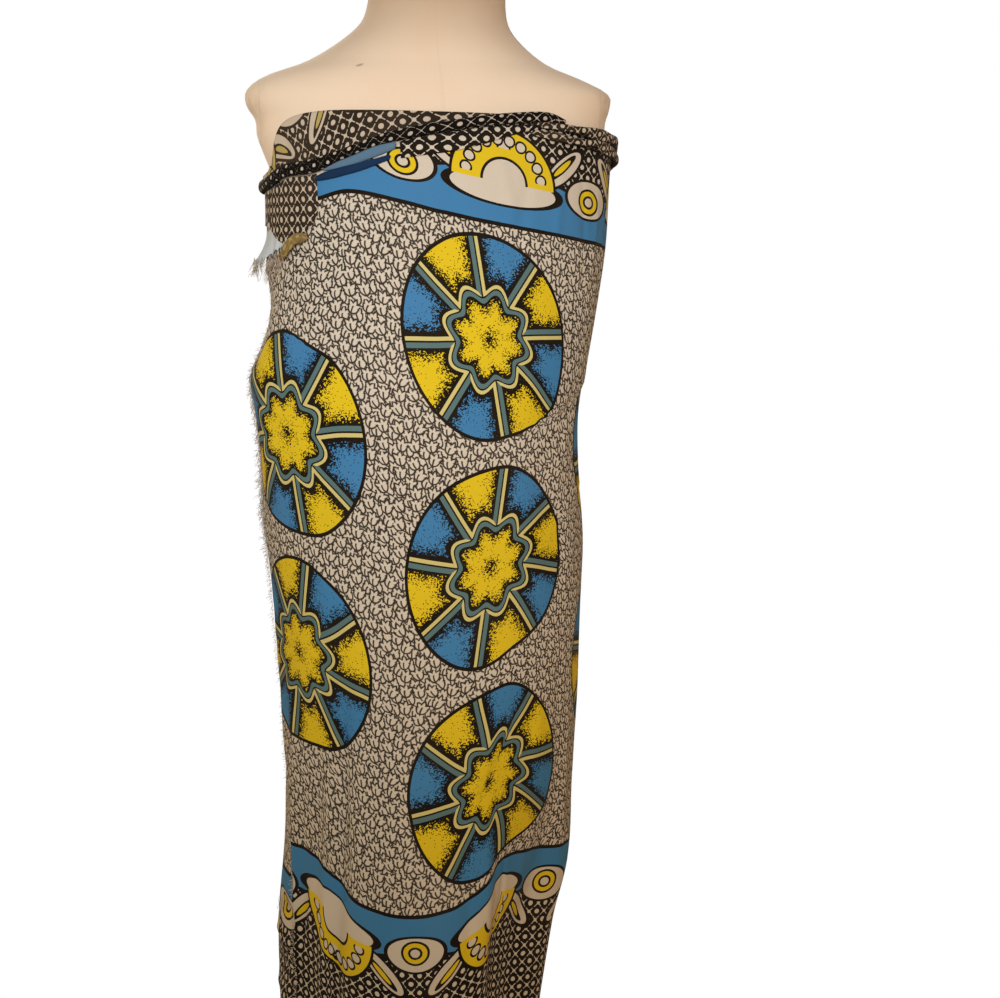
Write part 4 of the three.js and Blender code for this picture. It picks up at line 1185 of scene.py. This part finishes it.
enamel, enamelTree, enamelSurface = newMaterial("stove-enamelled steel")  # dark, smooth, softly glossy
orangePeel = put(enamelTree, "TexNoise", {"Vector": put(enamelTree, "TexCoord", out=3), "Scale": 400.0})
enamelBump = put(enamelTree, "Bump", {"Strength": 0.08, "Distance": 0.0002, "Height": orangePeel})
enamelTree.links.new(enamelBump, enamelSurface.inputs["Normal"])
scuff = {"Vector": put(enamelTree, "TexCoord", out=3), "Scale": 25.0, "Detail": 5.0}
scuff = put(enamelTree, "TexNoise", scuff)
enamelGloss = put(enamelTree, "MapRange", {"Value": scuff, 1: 0.3, 2: 0.7, 3: 0.32, 4: 0.5})
enamelTree.links.new(enamelGloss, enamelSurface.inputs["Roughness"])
enamelSurface.inputs["Base Color"].default_value = colour("#2A2826")

capSteps = rows("rise inset", (0.3, 1), (2, 0), (9, 0), (11, 0.8), (12.3, 2.6), (13, 6))


def onCap(s, t):
    row = capSteps[round(t * (len(capSteps) - 1))]
    point = outlinePoint(sectionAt(formSections, form["neckTop"]), 360 * s, 0, -row["inset"])
    point.z = (form["neckTop"] + row["rise"]) * mm
    return point


neckCap = gridPiece("neckCap", 96, len(capSteps) - 1, onCap, lambda s, t: (s, t), [birch], closed=True)
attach(neckCap, "root")
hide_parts("neck_cap")


def turnedPiece(name, profile, sides, node):
    # A turned piece, from radius and height for each corner of its profile, axis to axis
    bm = bmesh.new()
    corners = [bm.verts.new((radius * mm, 0, height * mm)) for radius, height in profile]
    edges = [bm.edges.new(pair) for pair in zip(corners, corners[1:])]
    bmesh.ops.spin(bm, geom=corners + edges, axis=(0, 0, 1), cent=(0, 0, 0), angle=2 * math.pi,
                   steps=sides, use_merge=True)
    bmesh.ops.remove_doubles(bm, verts=bm.verts, dist=0.00001)
    bmesh.ops.recalc_face_normals(bm, faces=bm.faces)
    sharp = [e for e in bm.edges if len(e.link_faces) == 2 and e.calc_face_angle(0) > 0.5]
    bmesh.ops.bevel(bm, geom=sharp, offset=0.0006, offset_type="OFFSET", segments=2, profile=0.5,
                    affect="EDGES", material=-1)
    piece = finishMesh(bm, name, [enamel])
    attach(piece, "root")
    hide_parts(node)


turnedPiece("basePlate", ((0, 0), (201, 0), (203, 3), (203, 9), (197, 14), (32, 18), (24, 39), (21, 42),
                          (0, 42)), 96, "base_plate")
turnedPiece("standPole", ((0, 42.3), (12.5, 42.3), (12.5, 669.7), (0, 669.7)), 48, "stand_pole")
turnedPiece("poleCollar", ((0, 670), (18.5, 670), (20.5, 673), (20.5, 686), (36, 689), (36, 693.7),
                           (0, 693.7)), 64, "pole_collar")
print("form and stand made")

# stage, light
studio = {"floorRadius": 0.46, "ambient": 0.22}
lights = (
    # name, place, aim, size, power, tint, spread in degrees
    ("key", (-0.3, -1.6, 1.4), (0, 0, 0.98), 0.7, 4.6, "#FFF7F2", 80),
    ("fill", (1.3, -1.2, 0.6), (0, 0, 0.6), 1.2, 3.4, "#FFB468", 180),
    ("behind", (-0.4, 1.8, 1.7), (0, 0, 0.8), 1.4, 26, "#FFF3E4", 180),
    ("left", (-1.9, 0.8, 1.1), (0, 0, 0.8), 1.1, 12, "#FFE0B8", 180),
    ("right", (1.9, 0.8, 1.1), (0, 0, 0.8), 1.1, 7, "#FFE0B8", 180),
)
floorMaterial, _, floorSurface = newMaterial("matt white paper")
floorSurface.inputs["Base Color"].default_value = colour("#F4F2EE")
floorSurface.inputs["Roughness"].default_value = 0.9
bm = bmesh.new()
bmesh.ops.create_circle(bm, cap_ends=True, segments=96, radius=studio["floorRadius"])
floor = finishMesh(bm, "floor", [floorMaterial], smoothFaces=False)

world = bpy.data.worlds.new("studio")
bpy.context.scene.world = world
world.use_nodes = True
sky = world.node_tree
sky.nodes.clear()
seen = put(sky, "LightPath")  # what looks straight at the sky sees plain white
ambient = put(sky, "Background", [colour("#FFE9CA"), studio["ambient"]])
white = put(sky, "Background", [(1, 1, 1, 1), 1.0])
shown = put(sky, "MixShader", [seen, ambient, white])
put(sky, "OutputWorld", [shown])

for name, place, aim, size, power, tint, spread in lights:
    lamp = bpy.data.objects.new(name, bpy.data.lights.new(name, "AREA"))
    bpy.context.scene.collection.objects.link(lamp)
    lamp.data.shape = "DISK"
    lamp.data.size = size
    lamp.data.energy = power
    lamp.data.color = colour(tint)[:3]
    lamp.data.spread = math.radians(spread)
    lamp.location = place
    lamp.rotation_euler = (Vector(aim) - Vector(place)).to_track_quat("-Z", "Y").to_euler()
bpy.context.scene.view_settings.view_transform = "Standard"
